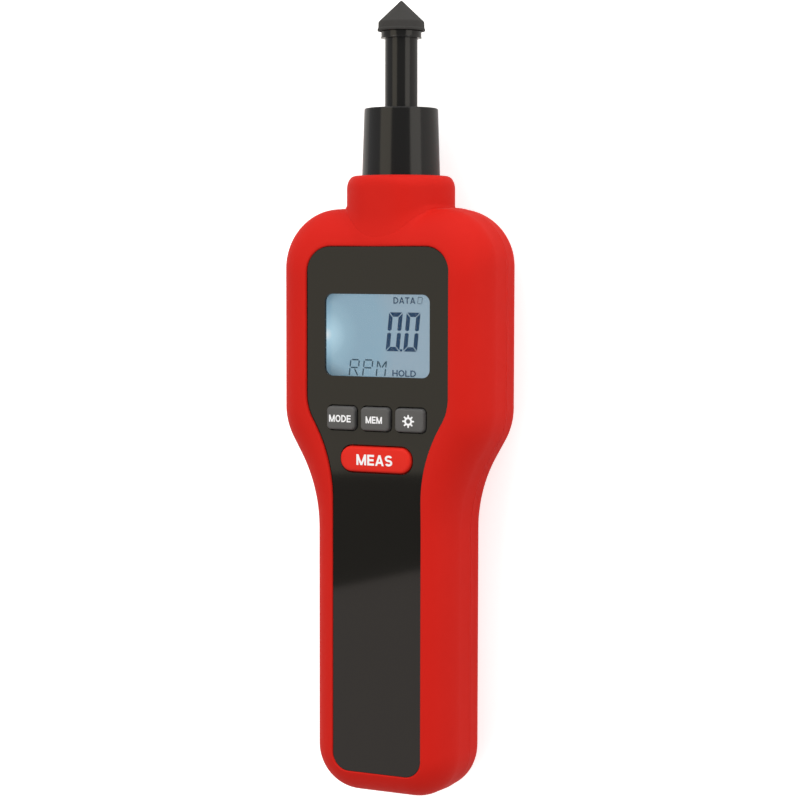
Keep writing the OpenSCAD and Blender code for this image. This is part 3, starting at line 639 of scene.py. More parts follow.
@dataclass(frozen=True)
class Arc:
    """An arc of an outline, round where it turns left and hollow where it turns right."""

    centre: tuple[float, float]
    r: float
    start: float
    end: float
    count: int

    def samples(self) -> tuple[Array, Array]:
        """Samples the arc from its start, short of its end.

        Returns:
            Points and outward unit normals.
        """
        a = self.start + (self.end - self.start) * np.arange(self.count) / self.count
        ray = np.stack([np.cos(a), np.sin(a)], -1)
        return np.array(self.centre) + self.r * ray, ray if self.end > self.start else -ray

    def distance(self, p: Array) -> tuple[Array, Array]:
        """Measures how far points lie from the arc.

        Args:
            p: Points, with x and y on the last axis.

        Returns:
            The distance, infinite past the arc's ends, and a value that is below zero on the inside.
        """
        slack = 1e-9
        ray = p - np.array(self.centre)
        length = np.linalg.norm(ray, axis=-1)
        angle = np.arctan2(ray[..., 1], ray[..., 0]) % math.tau
        end = self.end % math.tau or (math.tau if self.start < 0 else 0.0)
        low, high = sorted((self.start % math.tau, end))
        inside = (angle >= low - slack) & (angle <= high + slack)
        side = (length - self.r) * (1 if self.end > self.start else -1)
        return np.where(inside, np.abs(length - self.r), np.inf), side


@dataclass(frozen=True)
class Outline:
    """Paddle outline: a grip, a sloping neck and a wider head, of straight lines and tangent arcs.

    The right half runs from the middle of the foot to the middle of the top, and the left half
    mirrors it. An inset of the outline moves each sample back along its own normal.
    """

    grip: float
    head: float
    foot: float
    top: float
    foot_r: float
    top_r: float
    concave_r: float
    convex_r: float
    neck: float
    slope_deg: float

    def features(self) -> list[Line | Arc]:
        """Lists the right half's lines and arcs, each with its number of samples.

        Returns:
            The lines and arcs, end to end from the foot to the top.
        """
        slope = math.radians(self.slope_deg)
        bends = self.concave_r + self.convex_r
        run = self.head - self.grip - bends * (1 - math.cos(slope))
        low = self.neck - bends * math.sin(slope) - run / math.tan(slope)
        foot_c = (self.grip - self.foot_r, self.foot + self.foot_r)
        in_c = (self.grip + self.concave_r, low)
        out_c = (self.head - self.convex_r, self.neck)
        top_c = (self.head - self.top_r, self.top - self.top_r)
        half = math.pi / 2
        bend_low = (in_c[0] - self.concave_r * math.cos(slope), low + self.concave_r * math.sin(slope))
        bend_high = (out_c[0] + self.convex_r * math.cos(slope),
                     self.neck - self.convex_r * math.sin(slope))
        return [
            Line((0.0, self.foot), (foot_c[0], self.foot), 10),
            Arc(foot_c, self.foot_r, -half, 0.0, 26),
            Line((self.grip, foot_c[1]), (self.grip, low), 20),
            Arc(in_c, self.concave_r, math.pi, math.pi - slope, 20),
            Line(bend_low, bend_high, 5),
            Arc(out_c, self.convex_r, -slope, 0.0, 20),
            Line((self.head, self.neck), (self.head, top_c[1]), 20),
            Arc(top_c, self.top_r, 0.0, half, 36),
            Line((top_c[0], self.top), (0.0, self.top), 40),
        ]

    def samples(self) -> tuple[Array, Array]:
        """Samples the closed outline.

        Returns:
            Points and outward unit normals, turning left from the middle of the foot.
        """
        points, normals = zip(*[feature.samples() for feature in self.features()])
        right = np.concatenate([*points, [[0.0, self.top]]])
        out = np.concatenate([*normals, [[0.0, 1.0]]])
        flip = np.array([-1.0, 1.0])
        return (np.concatenate([right, right[-2:0:-1] * flip]),
                np.concatenate([out, out[-2:0:-1] * flip]))

    def distance(self, xy: Array) -> Array:
        """Signed distance from points to the outline, below zero inside.

        Args:
            xy: Points, with x and y on the last axis.

        Returns:
            The distance to the nearest line or arc of the half that the point lies in.
        """
        p = np.stack([np.abs(xy[..., 0]), xy[..., 1]], -1)
        best = np.full(p.shape[:-1], np.inf)
        sign = np.ones(p.shape[:-1])
        for feature in self.features():
            far, side = feature.distance(p)
            nearer = far < best
            best = np.where(nearer, far, best)
            sign = np.where(nearer, np.where(side >= 0, 1.0, -1.0), sign)
        return best * sign


# Housing


def solve_rising(test: Callable[[Array], Array], low: float, high: float, shape: tuple,
                 halvings: int = 30) -> Array:
    """Finds where a rising function crosses zero, by halving, for a whole array at once.

    Args:
        test: Function of an array of steps.
        low: Step where the search begins.
        high: Step where it ends, and the answer where the function stays below zero.
        shape: Shape of the array.
        halvings: How often the search halves its range.

    Returns:
        The steps at the crossings.
    """
    a, b = np.full(shape, low), np.full(shape, high)
    for _ in range(halvings):
        middle = (a + b) / 2
        under = test(middle) < 0
        a, b = np.where(under, middle, a), np.where(under, b, middle)
    return b


@dataclass
class Housing:
    """Two soft red half shells with the collar on their shoulders and the door in their back."""

    head_half: float = 32.0
    grip_half: float = 21.5
    head_l: float = 55.0
    foot_r: float = 13.0
    shoulder_r: float = 16.0
    concave_r: float = 40.0
    convex_r: float = 19.0
    neck_deg: float = 30.0
    panel_grip_half: float = 13.35
    panel_head_l: float = 51.5
    panel_foot_r: float = 4.8
    panel_top_r: float = 7.0
    panel_concave_r: float = 42.0
    panel_convex_r: float = 13.0
    front_r: float = 10.0
    shoulder_run: float = 16.0
    rear_r: float = 11.5
    foot_run: float = 6.0
    draft: float = 0.3
    wall: float = 2.4
    collar_r: float = 15.0
    collar_rim: float = 2.3
    collar_rim_h: float = 3.6
    collar_flat: float = 1.05
    flat_blend: float = 1.6
    lip_bore_r: float = 11.1
    lip_t: float = 1.6
    bore_edge: float = 0.3
    barrel_seat_r: float = 12.5
    panel_gap: float = 0.1
    edge_span: tuple[float, float] = (0.5, 24.0)
    ledge_w: float = 2.0
    ledge_t: float = 2.0
    ledge_root: float = 1.6
    back_strip: float = 0.4
    rim_edge: float = 0.35
    seam_w: float = 0.16
    seam_bevel: tuple[float, float] = (0.3, 0.4)
    blend_side: float = 1.2
    blend_face: float = 2.6
    collar_sink: float = 0.08
    shoulder_drop: float = 8.8
    well_r: float = 3.1
    well_h: float = 7.5
    well_gap: float = 0.3
    well_inset: float = 7.0
    past: float = 2.0

    def __post_init__(self) -> None:
        """Takes the places of the shells, the panel and the parting plane from the frame."""
        low, high = node_box("front_shell")
        self.depth = high[2]
        self.axis = low[2]
        self.foot = low[1]
        self.collar_top = high[1]
        self.shoulder = self.collar_top - self.shoulder_drop
        panel_low, panel_high = node_box("front_panel")
        self.collar_low = panel_high[1] + self.panel_gap + self.rim_edge
        self.ledge = panel_low[2]
        self.outline = Outline(self.grip_half, self.head_half, self.foot, self.shoulder,
                               self.foot_r, self.shoulder_r, self.concave_r, self.convex_r,
                               self.shoulder - self.head_l, self.neck_deg)
        self.panel = Outline(self.panel_grip_half, panel_high[0], panel_low[1], panel_high[1],
                             self.panel_foot_r, self.panel_top_r, self.panel_concave_r,
                             self.panel_convex_r, self.shoulder - self.panel_head_l, self.neck_deg)
        self.door = BatteryDoor(self)

    def blend(self, points: Array) -> Array:
        """Width of the soft joint round the collar: narrow at its sides, wide on front and back."""
        side = np.clip(np.abs(points[..., 2] - self.axis) / self.collar_r, 0, 1)
        return self.blend_side + (self.blend_face - self.blend_side) * side ** 3

    def flatten(self, height: Array) -> Array:
        """Soft minimum of heights h over the axis and the flat f of the collar's front.

        It is min(h, f) - max(k - |h - f|, 0)^2 / (4 k), with the softness k.

        Args:
            height: Heights over the axis.

        Returns:
            The heights, held down at the flat.
        """
        k = self.flat_blend
        flat = self.depth - self.collar_flat - self.axis
        return np.minimum(height, flat) - np.maximum(k - np.abs(height - flat), 0) ** 2 / (4 * k)

    def collar_distance(self, p: Array) -> Array:
        """Signed distance to the collar, a cylinder along Y with a soft flat on its front.

        Args:
            p: Points, with x, y and z on the last axis.

        Returns:
            The distances, below zero inside.
        """
        height = p[..., 2] - self.axis
        tube = np.hypot(p[..., 0], height) - self.collar_r
        over = height - self.flatten(np.sqrt(np.maximum(self.collar_r ** 2 - p[..., 0] ** 2, 0)))
        skin = np.where(height > 0, np.maximum(tube, over), tube)
        return np.maximum(skin, self.shoulder - self.shoulder_run - p[..., 1])

    def slab_distance(self, p: Array) -> Array:
        """Signed distance to the body: its outline pulled in by the edge radius and rounded out again.

        Args:
            p: Points, with x, y and z on the last axis.

        Returns:
            The distances, below zero inside.
        """
        front = p[..., 2] >= self.axis
        r = np.where(front, self.front_r, self.rear_r)
        up = np.where(front, p[..., 2] - (self.depth - self.front_r), self.rear_r - p[..., 2])
        below = np.maximum(self.shoulder - p[..., 1], 0)
        y = np.where(front, p[..., 1] + below * (1 - self.front_r / self.shoulder_run), p[..., 1])
        across = self.outline.distance(np.stack([p[..., 0], y], -1)) + self.draft + r
        outside = np.hypot(np.maximum(across, 0), np.maximum(up, 0))
        return outside + np.minimum(np.maximum(across, up), 0) - r

    def soften(self, points: Array, normals: Array, other: Callable[[Array], Array],
               sink: float = 0.0) -> Array:
        """Moves a surface out along its normals onto the smooth union with another body.

        The smooth union of distances a and b is min(a, b) - max(k - |a - b|, 0)^2 / (4 k). On the
        surface a is the step itself. The step stops at k / 4, where the other surface takes over.

        Args:
            points: Points of the surface.
            normals: Outward unit normals there.
            other: Signed distance of the other body.
            sink: Distance that the surface keeps below the front plane and above the back plane.

        Returns:
            The moved points, kept between the back plane and the front plane.
        """
        k = self.blend(points)

        def union(step: Array) -> Array:
            b = other(points + normals * step[..., None])
            return np.minimum(step, b) - np.maximum(k - np.abs(step - b), 0) ** 2 / (4 * k)

        step = np.minimum(solve_rising(union, 0.0, self.blend_face / 4, k.shape), k / 4)
        slack = 1e-6
        step = np.where(union(np.zeros_like(k)) >= -slack, 0.0, step)
        moved = points + normals * step[..., None]
        moved[..., 2] = np.clip(moved[..., 2], sink, self.depth - sink)
        return moved

    def slide(self) -> Array:
        """How far each sample of the front edge slides down the head for each unit of its inset.

        Returns:
            One factor a sample: full on the shoulders, and none below the head.
        """
        y = self.outline.samples()[0][:, 1]
        full, none = self.shoulder - self.outline.top_r, self.outline.neck
        return (self.shoulder_run / self.front_r - 1) * np.clip((y - none) / (full - none), 0, 1)

    def ring(self, inset: Array | float, z: Array | float, way: float = 0.0) -> Array:
        """Points of the outline moved in by an inset, at a height.

        The front edge is longer on the shoulders. At the foot the rear edge is fuller: an inset d on
        the sides is foot_run (d / rear_r)^2 there.

        Args:
            inset: Inset, one for all or one for each sample.
            z: Height, one for all or one for each sample.
            way: 1 for the outside of the front half, -1 for that of the rear half, 0 for the inside.

        Returns:
            Points, one for each sample of the outline.
        """
        base, normal = self.outline.samples()
        move = np.zeros(len(base)) + inset
        xy = base - normal * move[:, None]
        past = np.maximum(move - self.draft, 0)
        if way > 0:
            xy[:, 1] -= self.slide() * past
        elif way < 0:
            at_foot = (base[:, 1] < self.foot + self.outline.foot_r) * np.maximum(-normal[:, 1], 0)
            xy[:, 1] -= at_foot * (move - self.foot_run * (past / self.rear_r) ** 2)
        return np.column_stack([xy, np.zeros(len(base)) + z])

    def tilt(self, angle: Array | float, way: float) -> Array:
        """Outward normals of the soft edge where it has turned by an angle.

        Args:
            angle: Angle, one for all or one for each sample.
            way: 1 for the front half, -1 for the rear half.

        Returns:
            Unit normals, one for each sample of the outline.
        """
        _, normal = self.outline.samples()
        a = np.zeros(len(normal)) + angle
        lean = 1 + self.slide() * np.maximum(normal[:, 1], 0) * (way > 0)
        out = np.column_stack([normal * np.cos(a)[:, None], way * lean * np.sin(a)])
        return out / np.linalg.norm(out, axis=1, keepdims=True)

    def outer_rows(self, r: float, z_edge: float, way: float, reach: Array | float,
                   steps: int) -> tuple[Array, Array]:
        """Outside of a half shell from the seam over the soft edge.

        A row's inset is draft + r (1 - cos a) while its height moves by r sin a, for the angle a of
        the soft edge. Past a quarter turn the surface is flat.

        Args:
            r: Edge radius.
            z_edge: Height where the soft edge begins.
            way: 1 for the front half, -1 for the rear half.
            reach: Inset at which each sample ends.
            steps: Number of rows on the soft edge.

        Returns:
            Points and normals, shaped rows by samples by 3.
        """
        rows, normals = [], []
        side = z_edge - self.axis
        for inset, rise in ((1.0, 0.0), self.seam_bevel, (0.0, 1.0)):
            rows.append(self.ring(self.seam_w * inset, self.axis + way * (self.seam_w * rise), way))
            normals.append(self.tilt(0.0, way))
        for t in np.linspace(0.1, 0.96, 8):
            rows.append(self.ring(self.draft * t, self.axis + side * t, way))
            normals.append(self.tilt(0.0, way))
        count = len(self.outline.samples()[0])
        reach = np.zeros(count) + reach
        quarter = r * math.pi / 2
        bent = np.clip((reach - self.draft) / r, 0, 1)
        length = r * np.arccos(1 - bent) + np.maximum(reach - self.draft - r, 0)
        for t in np.linspace(0, 1, steps):
            run = t * length
            angle = np.minimum(run, quarter) / r
            inset = self.draft + r * (1 - np.cos(angle)) + np.maximum(run - quarter, 0)
            rows.append(self.ring(inset, z_edge + way * r * np.sin(angle), way))
            normals.append(self.tilt(angle, way))
        return np.array(rows), np.array(normals)

    def panel_edge(self) -> tuple[Array, Array]:
        """Where each line across the front meets the panel's pocket.

        Returns:
            The inset of the meeting point, and the panel's outward normal there.
        """
        def inside(inset: Array) -> Array:
            return self.panel_gap - self.panel.distance(self.ring(inset, 0.0, 1.0)[:, :2])

        count = len(self.outline.samples()[0])
        inset = solve_rising(inside, *self.edge_span, (count,))
        xy = self.ring(inset, 0.0, 1.0)[:, :2]
        nudge = 0.02
        slope = np.stack([
            self.panel.distance(xy + [nudge, 0]) - self.panel.distance(xy - [nudge, 0]),
            self.panel.distance(xy + [0, nudge]) - self.panel.distance(xy - [0, nudge])], -1)
        return inset, slope / np.linalg.norm(slope, axis=1, keepdims=True)

    def collar_half(self, way: float) -> Array:
        """Half of the collar: its wall profile carried round the spindle axis.

        Args:
            way: 1 for the front half, -1 for the rear half.

        Returns:
            Points, shaped profile by angle by 3, softened where they meet the body.
        """
        r, rim, top = self.collar_r, self.collar_rim, self.collar_top
        low = self.collar_low
        rim_h = self.collar_rim_h
        wall_y = np.linspace(low, top - rim_h, 48)
        turn = np.linspace(0, math.pi / 2, 14)[1:]
        outer = np.column_stack([np.full_like(wall_y, r), wall_y])
        edge = np.column_stack([r - rim + rim * np.cos(turn), top - rim_h + rim_h * np.sin(turn)])
        lip, seat = self.lip_bore_r, self.barrel_seat_r
        inner = np.array([[lip + self.bore_edge, top], [lip, top - self.bore_edge],
                          [lip, top - self.lip_t], [seat, top - self.lip_t], [seat, low]])
        profile = np.concatenate([outer, edge, inner])
        angle = np.linspace(0, math.pi, 97)
        grid = np.stack(np.broadcast_arrays(
            profile[:, :1] * np.cos(angle), profile[:, 1:],
            self.axis + way * profile[:, :1] * np.sin(angle)), -1).copy()
        if way > 0:
            shell = len(outer) + len(edge)
            grid[:shell, :, 2] = self.axis + self.flatten(grid[:shell, :, 2] - self.axis)
        ray = np.stack(np.broadcast_arrays(np.cos(angle), 0.0, way * np.sin(angle)), -1)
        count = len(outer)
        grid[:count] = self.soften(grid[:count], np.repeat(ray[None], count, 0), self.slab_distance,
                                   self.collar_sink)
        return grid

    def join_nose(self, item: bpy.types.Object, way: float) -> None:
        """Bores a shell for the optics barrel and joins its half of the collar to it.

        Args:
            item: The shell without its collar.
            way: 1 for the front half, -1 for the rear half.
        """
        bore = Piece("barrel_bore")
        ends = [[self.barrel_seat_r, y] for y in (self.collar_low, self.collar_top)]
        bore.add_grid(revolve(np.array(ends), self.axis), Wrap.ROUND, caps=True)
        cut_with(item, bore, Cut.AWAY)
        grid = self.collar_half(way)[:, ::-int(way)]
        collar = Piece("collar_half")
        collar.add_grid(grid.transpose(1, 0, 2)[:, ::-1], Wrap.ROUND, caps=True)
        join_mesh(item, collar)

    def front(self) -> None:
        """Builds the front shell, one closed band from the seam over the rim and back inside."""
        z_edge = self.depth - self.front_r
        edge, out = self.panel_edge()
        rows, normals = self.outer_rows(self.front_r, z_edge, 1.0, edge - self.rim_edge, 26)
        rows = self.soften(rows, normals, self.collar_distance)
        rim = rows[-1]
        lip_xy = self.ring(edge, 0.0, 1.0)[:, :2]
        band = [rows]

        def level(xy: Array, z: Array | float) -> None:
            band.append(np.column_stack([xy, np.zeros(len(xy)) + z])[None])

        for a in (30, 60, 90):
            s, c = math.sin(math.radians(a)), math.cos(math.radians(a))
            level(rim[:, :2] + (lip_xy - rim[:, :2]) * s, rim[:, 2] - self.rim_edge * (1 - c))
        level(lip_xy, self.ledge)
        inner_xy = lip_xy - out * (self.ledge_w + self.panel_gap)
        level(inner_xy, self.ledge)
        level(inner_xy, self.ledge - self.ledge_t)
        level(lip_xy + out * self.ledge_root, self.ledge - self.ledge_t)
        r_in = self.front_r - self.wall
        for a in np.linspace(math.asin(min((self.ledge - self.ledge_t - z_edge) / r_in, 1)), 0, 6):
            band.append(self.ring(self.draft + self.wall + r_in * (1 - math.cos(a)),
                                  z_edge + r_in * math.sin(a))[None])
        band.append(self.ring(self.wall, self.axis)[None])
        piece = Piece("front_shell_moulding")
        piece.add_grid(np.concatenate(band), Wrap.BOTH)
        item = piece.build(RED_SHELL)
        self.join_nose(item, 1.0)
        place(shade(item, RED_SHELL), "housing", "red_shell", "front_shell")

    def rear_skin(self, name: str) -> Piece:
        """Makes the rear half as a closed bowl with an even wall.

        Args:
            name: Name of the piece.

        Returns:
            The bowl: soft outside, flat back, and the inside at a wall's distance.
        """
        reach = self.rear_r + self.draft + self.back_strip
        rows, normals = self.outer_rows(self.rear_r, self.rear_r, -1.0, reach, 22)
        rows = self.soften(rows, normals, self.collar_distance)
        r_in = self.rear_r - self.wall
        inner = [self.ring(self.draft + self.wall + r_in * (1 - math.cos(a)),
                           self.rear_r - r_in * math.sin(a)) for a in np.linspace(0, math.pi / 2, 14)]
        inner = np.array([self.ring(self.wall, self.axis), *inner])
        piece = Piece(name)
        piece.add_grid(np.concatenate([inner[::-1], rows])[:, ::-1], Wrap.ROUND, caps=True)
        return piece

    def screw_places(self) -> Array:
        """Middles of the four housing screws, from the corners of their node's box.

        Returns:
            Points of x and y.
        """
        low, high = node_box("housing_screws")
        r = self.well_r - self.well_gap
        places = ((high[0] - r, high[1] - r), (self.grip_half - self.well_inset, low[1] + r))
        return np.array([[x * s, y] for s in (-1, 1) for x, y in places])

    def rear(self) -> None:
        """Builds the rear shell with its door opening, rail grooves and screw wells."""
        item = self.rear_skin("rear_shell_moulding").build(RED_SHELL)
        cut_with(item, self.door.space(0.0), Cut.AWAY)
        cut_with(item, self.door.rail_grooves(), Cut.AWAY)
        wells = Piece("screw_wells")
        angle = np.linspace(0, math.tau, 48, endpoint=False)
        ring = self.well_r * np.stack([np.cos(angle), np.sin(angle)], -1)
        for middle in self.screw_places():
            wells.add_prism(middle + ring, -self.past, self.well_h)
        cut_with(item, wells, Cut.AWAY)
        self.join_nose(item, -1.0)
        place(shade(item, RED_SHELL), "housing", "red_shell", "rear_shell")

    def dress(self) -> None:
        """Builds every moulding of the housing."""
        self.front()
        self.rear()
        self.door.dress()


@dataclass
class BatteryDoor:
    """Battery door that slides off the back, with its rails, its latch and its grip."""

    housing: Housing
    gap: float = 0.3
    half: float = 14.5
    length: float = 58.0
    depth: float = 6.9
    lip_h: float = 9.0
    lip_l: float = 9.0
    rail_in: float = 2.0
    rail_out: float = 1.6
    rail_low: float = 0.9
    rail_t: float = 1.2
    rail_start: float = 13.0
    rail_stop: float = 3.0
    root: float = 0.4
    web_t: float = 1.4
    groove_count: int = 6
    groove_pitch: float = 2.0
    groove_w: float = 1.0
    groove_start: float = 8.0
    groove_half: float = 8.0
    groove_depth: float = 0.6
    latch_half: float = 5.0
    latch_l: float = 5.0
    latch_h: float = 1.6
    tongue_in: float = 1.0
    tongue_out: float = 3.5

    def __post_init__(self) -> None:
        """Places the door at the foot of the rear shell and its rails above the wall."""
        self.foot, self.wall, self.past = self.housing.foot, self.housing.wall, self.housing.past
        self.top = self.foot + self.length
        self.rail_x = (self.half - self.rail_in, self.half + self.rail_out)
        self.rail_z = (self.wall + self.rail_low, self.wall + self.rail_low + self.rail_t)

    def space(self, gap: float) -> Piece:
        """Space of the door in the rear shell.

        Args:
            gap: Distance by which the space is drawn smaller.

        Returns:
            A closed prism across the meter: a block under the back, with a higher lip at the foot.
        """
        low, top = self.foot - self.past, self.top - gap
        step, lip = self.foot + self.lip_l, self.lip_h - gap
        side = [(low, -self.past), (top, -self.past), (top, self.depth), (step, self.depth),
                (step, lip), (low, lip)]
        piece = Piece("door_space")
        piece.add_prism(np.array(side), gap - self.half, self.half - gap)
        # The prism stands on its side view, so its axes y, z and x turn to x, y and z
        piece.points = [piece.points[0][:, [2, 0, 1]]]
        return piece

    def rail_grooves(self) -> Piece:
        """Grooves that the rails slide in.

        Returns:
            Two closed blocks, larger than the rails by the gap and open at the foot.
        """
        piece = Piece("rail_grooves")
        piece.add_pair((self.rail_x[0], self.foot - self.past, self.rail_z[0] - self.gap),
                       (self.rail_x[1] + self.gap, self.top - self.rail_stop + self.gap,
                        self.rail_z[1] + self.gap))
        return piece

    def dress(self) -> None:
        """Builds the door: its share of the rear skin with grip grooves, rails and latch."""
        item = self.housing.rear_skin("battery_door_moulding").build(RED_SHELL)
        cut_with(item, self.space(self.gap), Cut.KEEP)
        top, wall, half = self.top, self.wall, self.groove_half
        grooves = Piece("grip_grooves")
        for k in range(self.groove_count):
            y = top - self.groove_start - self.groove_pitch * k
            grooves.add_block((-half, y, -self.past), (half, y + self.groove_w, self.groove_depth))
        cut_with(item, grooves, Cut.AWAY)
        rails = Piece("door_rails")
        start, stop = self.foot + self.rail_start, top - self.rail_stop
        low, inner = wall - self.root, self.rail_x[0]
        rails.add_pair((inner, start, self.rail_z[0]), (self.rail_x[1], stop, self.rail_z[1]))
        rails.add_pair((inner, start, low), (inner + self.web_t, stop, low + self.web_t))
        half, step, high = self.latch_half, top - self.tongue_in, wall + self.latch_h
        rails.add_block((-half, top - self.latch_l, low), (half, step, high))
        rails.add_block((-half, step, wall + self.gap), (half, top + self.tongue_out, high))
        join_mesh(item, rails)
        place(shade(item, RED_SHELL), "battery_door", "red_shell", "battery_door")


# Keys and print


def rounded_rectangle(half_w: float, half_h: float, r: float, per_corner: int = 12) -> Array:
    """Closed loop of a rectangle with round corners.

    Args:
        half_w: Half the width.
        half_h: Half the height.
        r: Corner radius.
        per_corner: Points on each corner.

    Returns:
        Points that turn left, corner centre plus r (cos a, sin a) quarter by quarter.
    """
    a = np.linspace(0, math.pi / 2, per_corner)[None, :] + (np.arange(4) * math.pi / 2)[:, None]
    sx = np.array([1, -1, -1, 1])[:, None]
    sy = np.array([1, 1, -1, -1])[:, None]
    x = sx * (half_w - r) + r * np.cos(a)
    y = sy * (half_h - r) + r * np.sin(a)
    return np.stack([x, y], -1).reshape(-1, 2)


def sector(middle: Sequence[float], radii: Sequence[float], t: float, start: float, end: float) -> Array:
    """Outline of part of an elliptic ring.

    Args:
        middle: Centre.
        radii: Outer radii across and upwards.
        t: Width of the ring.
        start: First angle in degrees.
        end: Last angle in degrees.

    Returns:
        Points middle + radii (cos a, sin a) outwards, and back along the ring's inside.
    """
    a = np.radians(np.linspace(start, end, 18))
    ray = np.stack([np.cos(a), np.sin(a)], -1)
    return np.concatenate([middle + ray * radii, (middle + ray * (np.array(radii) - t))[::-1]])


def bar(x0: float, x1: float, y0: float, y1: float, lean: float = 0.0) -> Array:
    """Outline of an upright bar whose top is moved sideways by lean."""
    return np.array([(x0, y0), (x1, y0), (x1 + lean, y1), (x0 + lean, y1)])


def letter(name: str, w: float, t: float) -> list[Array]:
    """Outlines of a capital letter that is 1 high.

    Args:
        name: One of the capitals A, D, E, H, L, M, O, S and T.
        w: Width of the letter.
        t: Width of its strokes.

    Returns:
        Outlines of its straight bars and ring sectors.
    """
    m, bowl, mid = w / 2, (1 + t) / 4, (0.5 - t / 2, 0.5 + t / 2)
    stem, far_stem, post = bar(0, t, 0, 1), bar(w - t, w, 0, 1), (m - t / 2, m + t / 2)
    foot, head, arch = bar(t, w, 0, t), bar(t, w, 1 - t, 1), w - 0.5
    strokes = {
        "A": [bar(0, t, 0, 1, m - t / 2), bar(w - t, w, 0, 1, t / 2 - m),
              bar(0.22 * w, 0.78 * w, 0.2, 0.2 + t)],
        "D": [stem, bar(t, arch, 0, t), bar(t, arch, 1 - t, 1),
              sector((arch, 0.5), (0.5, 0.5), t, -90, 90)],
        "E": [stem, foot, bar(t, 0.93 * w, *mid), head],
        "H": [stem, far_stem, bar(t, w - t, *mid)],
        "L": [stem, foot],
        "M": [stem, far_stem, bar(*post, 0, 1, t / 2 - m), bar(*post, 0, 1, m - t / 2)],
        "O": [sector((m, 0.5), (m, 0.5), t, 0, 180), sector((m, 0.5), (m, 0.5), t, 180, 360)],
        "S": [sector((m, 1 - bowl), (m, bowl), t, 25, 270), sector((m, bowl), (m, bowl), t, -155, 90)],
        "T": [bar(0, w, 1 - t, 1), bar(*post, 0, 1 - t)],
    }
    return strokes[name]


class Weight(Enum):
    """Stroke widths of printed words, in letter heights."""

    BOLD = 0.195
    PLAIN = 0.17


# Widths of the capitals, in letter heights
WIDTHS = {"A": 0.86, "D": 0.80, "E": 0.68, "H": 0.78, "L": 0.64, "M": 0.98, "O": 0.90, "S": 0.74,
          "T": 0.72}
# Edges of ink that turn by more than this many degrees stay sharp
INK_DEG = 20.0


@dataclass(frozen=True)
class Word:
    """A word printed on a flat face, with its size and its shift from the middle of the face."""

    letters: str
    width: float
    height: float
    shift: tuple[float, float]
    weight: Weight = Weight.BOLD
    space: float = 0.11
    layer: float = 0.002

    def build(self, name: str, middle: Sequence[float], low: float, high: float,
              finish: Finish) -> bpy.types.Object:
        """Builds the word as a thin closed mesh.

        Args:
            name: Name of the object.
            middle: Middle of the face.
            low: Height of the ink's underside.
            high: Height of its top; strokes that cross differ by a thin layer.
            finish: Ink.

        Returns:
            The new object.
        """
        piece = Piece(name)
        run = sum(WIDTHS[c] for c in self.letters) + self.space * (len(self.letters) - 1)
        size = np.array([self.width, self.height])
        corner = np.array(middle) + self.shift - size / 2
        at = 0.0
        for c in self.letters:
            for k, outline in enumerate(letter(c, WIDTHS[c], self.weight.value)):
                piece.add_prism(corner + (outline + (at, 0.0)) / (run, 1.0) * size, low,
                                high - self.layer * k)
            at += WIDTHS[c] + self.space
        return piece.build(finish, INK_DEG)


@dataclass(frozen=True)
class Sun:
    """A sun printed on a flat face: a ring with short rays, in shares of its radius."""

    radius: float
    shift: tuple[float, float]
    rays: int = 8
    ring: float = 0.66
    ring_t: float = 0.30
    ray_low: float = 0.6
    ray_root: float = 0.15
    ray_end: float = 0.11
    layer: float = 0.003

    def build(self, name: str, middle: Sequence[float], low: float, high: float,
              finish: Finish) -> bpy.types.Object:
        """Builds the sun as a thin closed mesh.

        Args:
            name: Name of the object.
            middle: Middle of the face.
            low: Height of the ink's underside.
            high: Height of its top; the rays lie lower by a thin layer.
            finish: Ink.

        Returns:
            The new object.
        """
        piece = Piece(name)
        middle = np.array(middle) + self.shift
        ring, ring_t = self.ring * self.radius, self.ring_t * self.radius
        ray = np.array([(self.ray_low, -self.ray_root), (1.0, -self.ray_end),
                        (1.0, self.ray_end), (self.ray_low, self.ray_root)]) * self.radius
        for start in (0, 180):
            piece.add_prism(sector(middle, (ring, ring), ring_t, start, start + 180), low, high)
        for t in math.tau * np.arange(self.rays) / self.rays:
            turn = np.array([[math.cos(t), math.sin(t)], [-math.sin(t), math.cos(t)]])
            piece.add_prism(middle + ray @ turn, low, high - self.layer)
        return piece.build(finish)


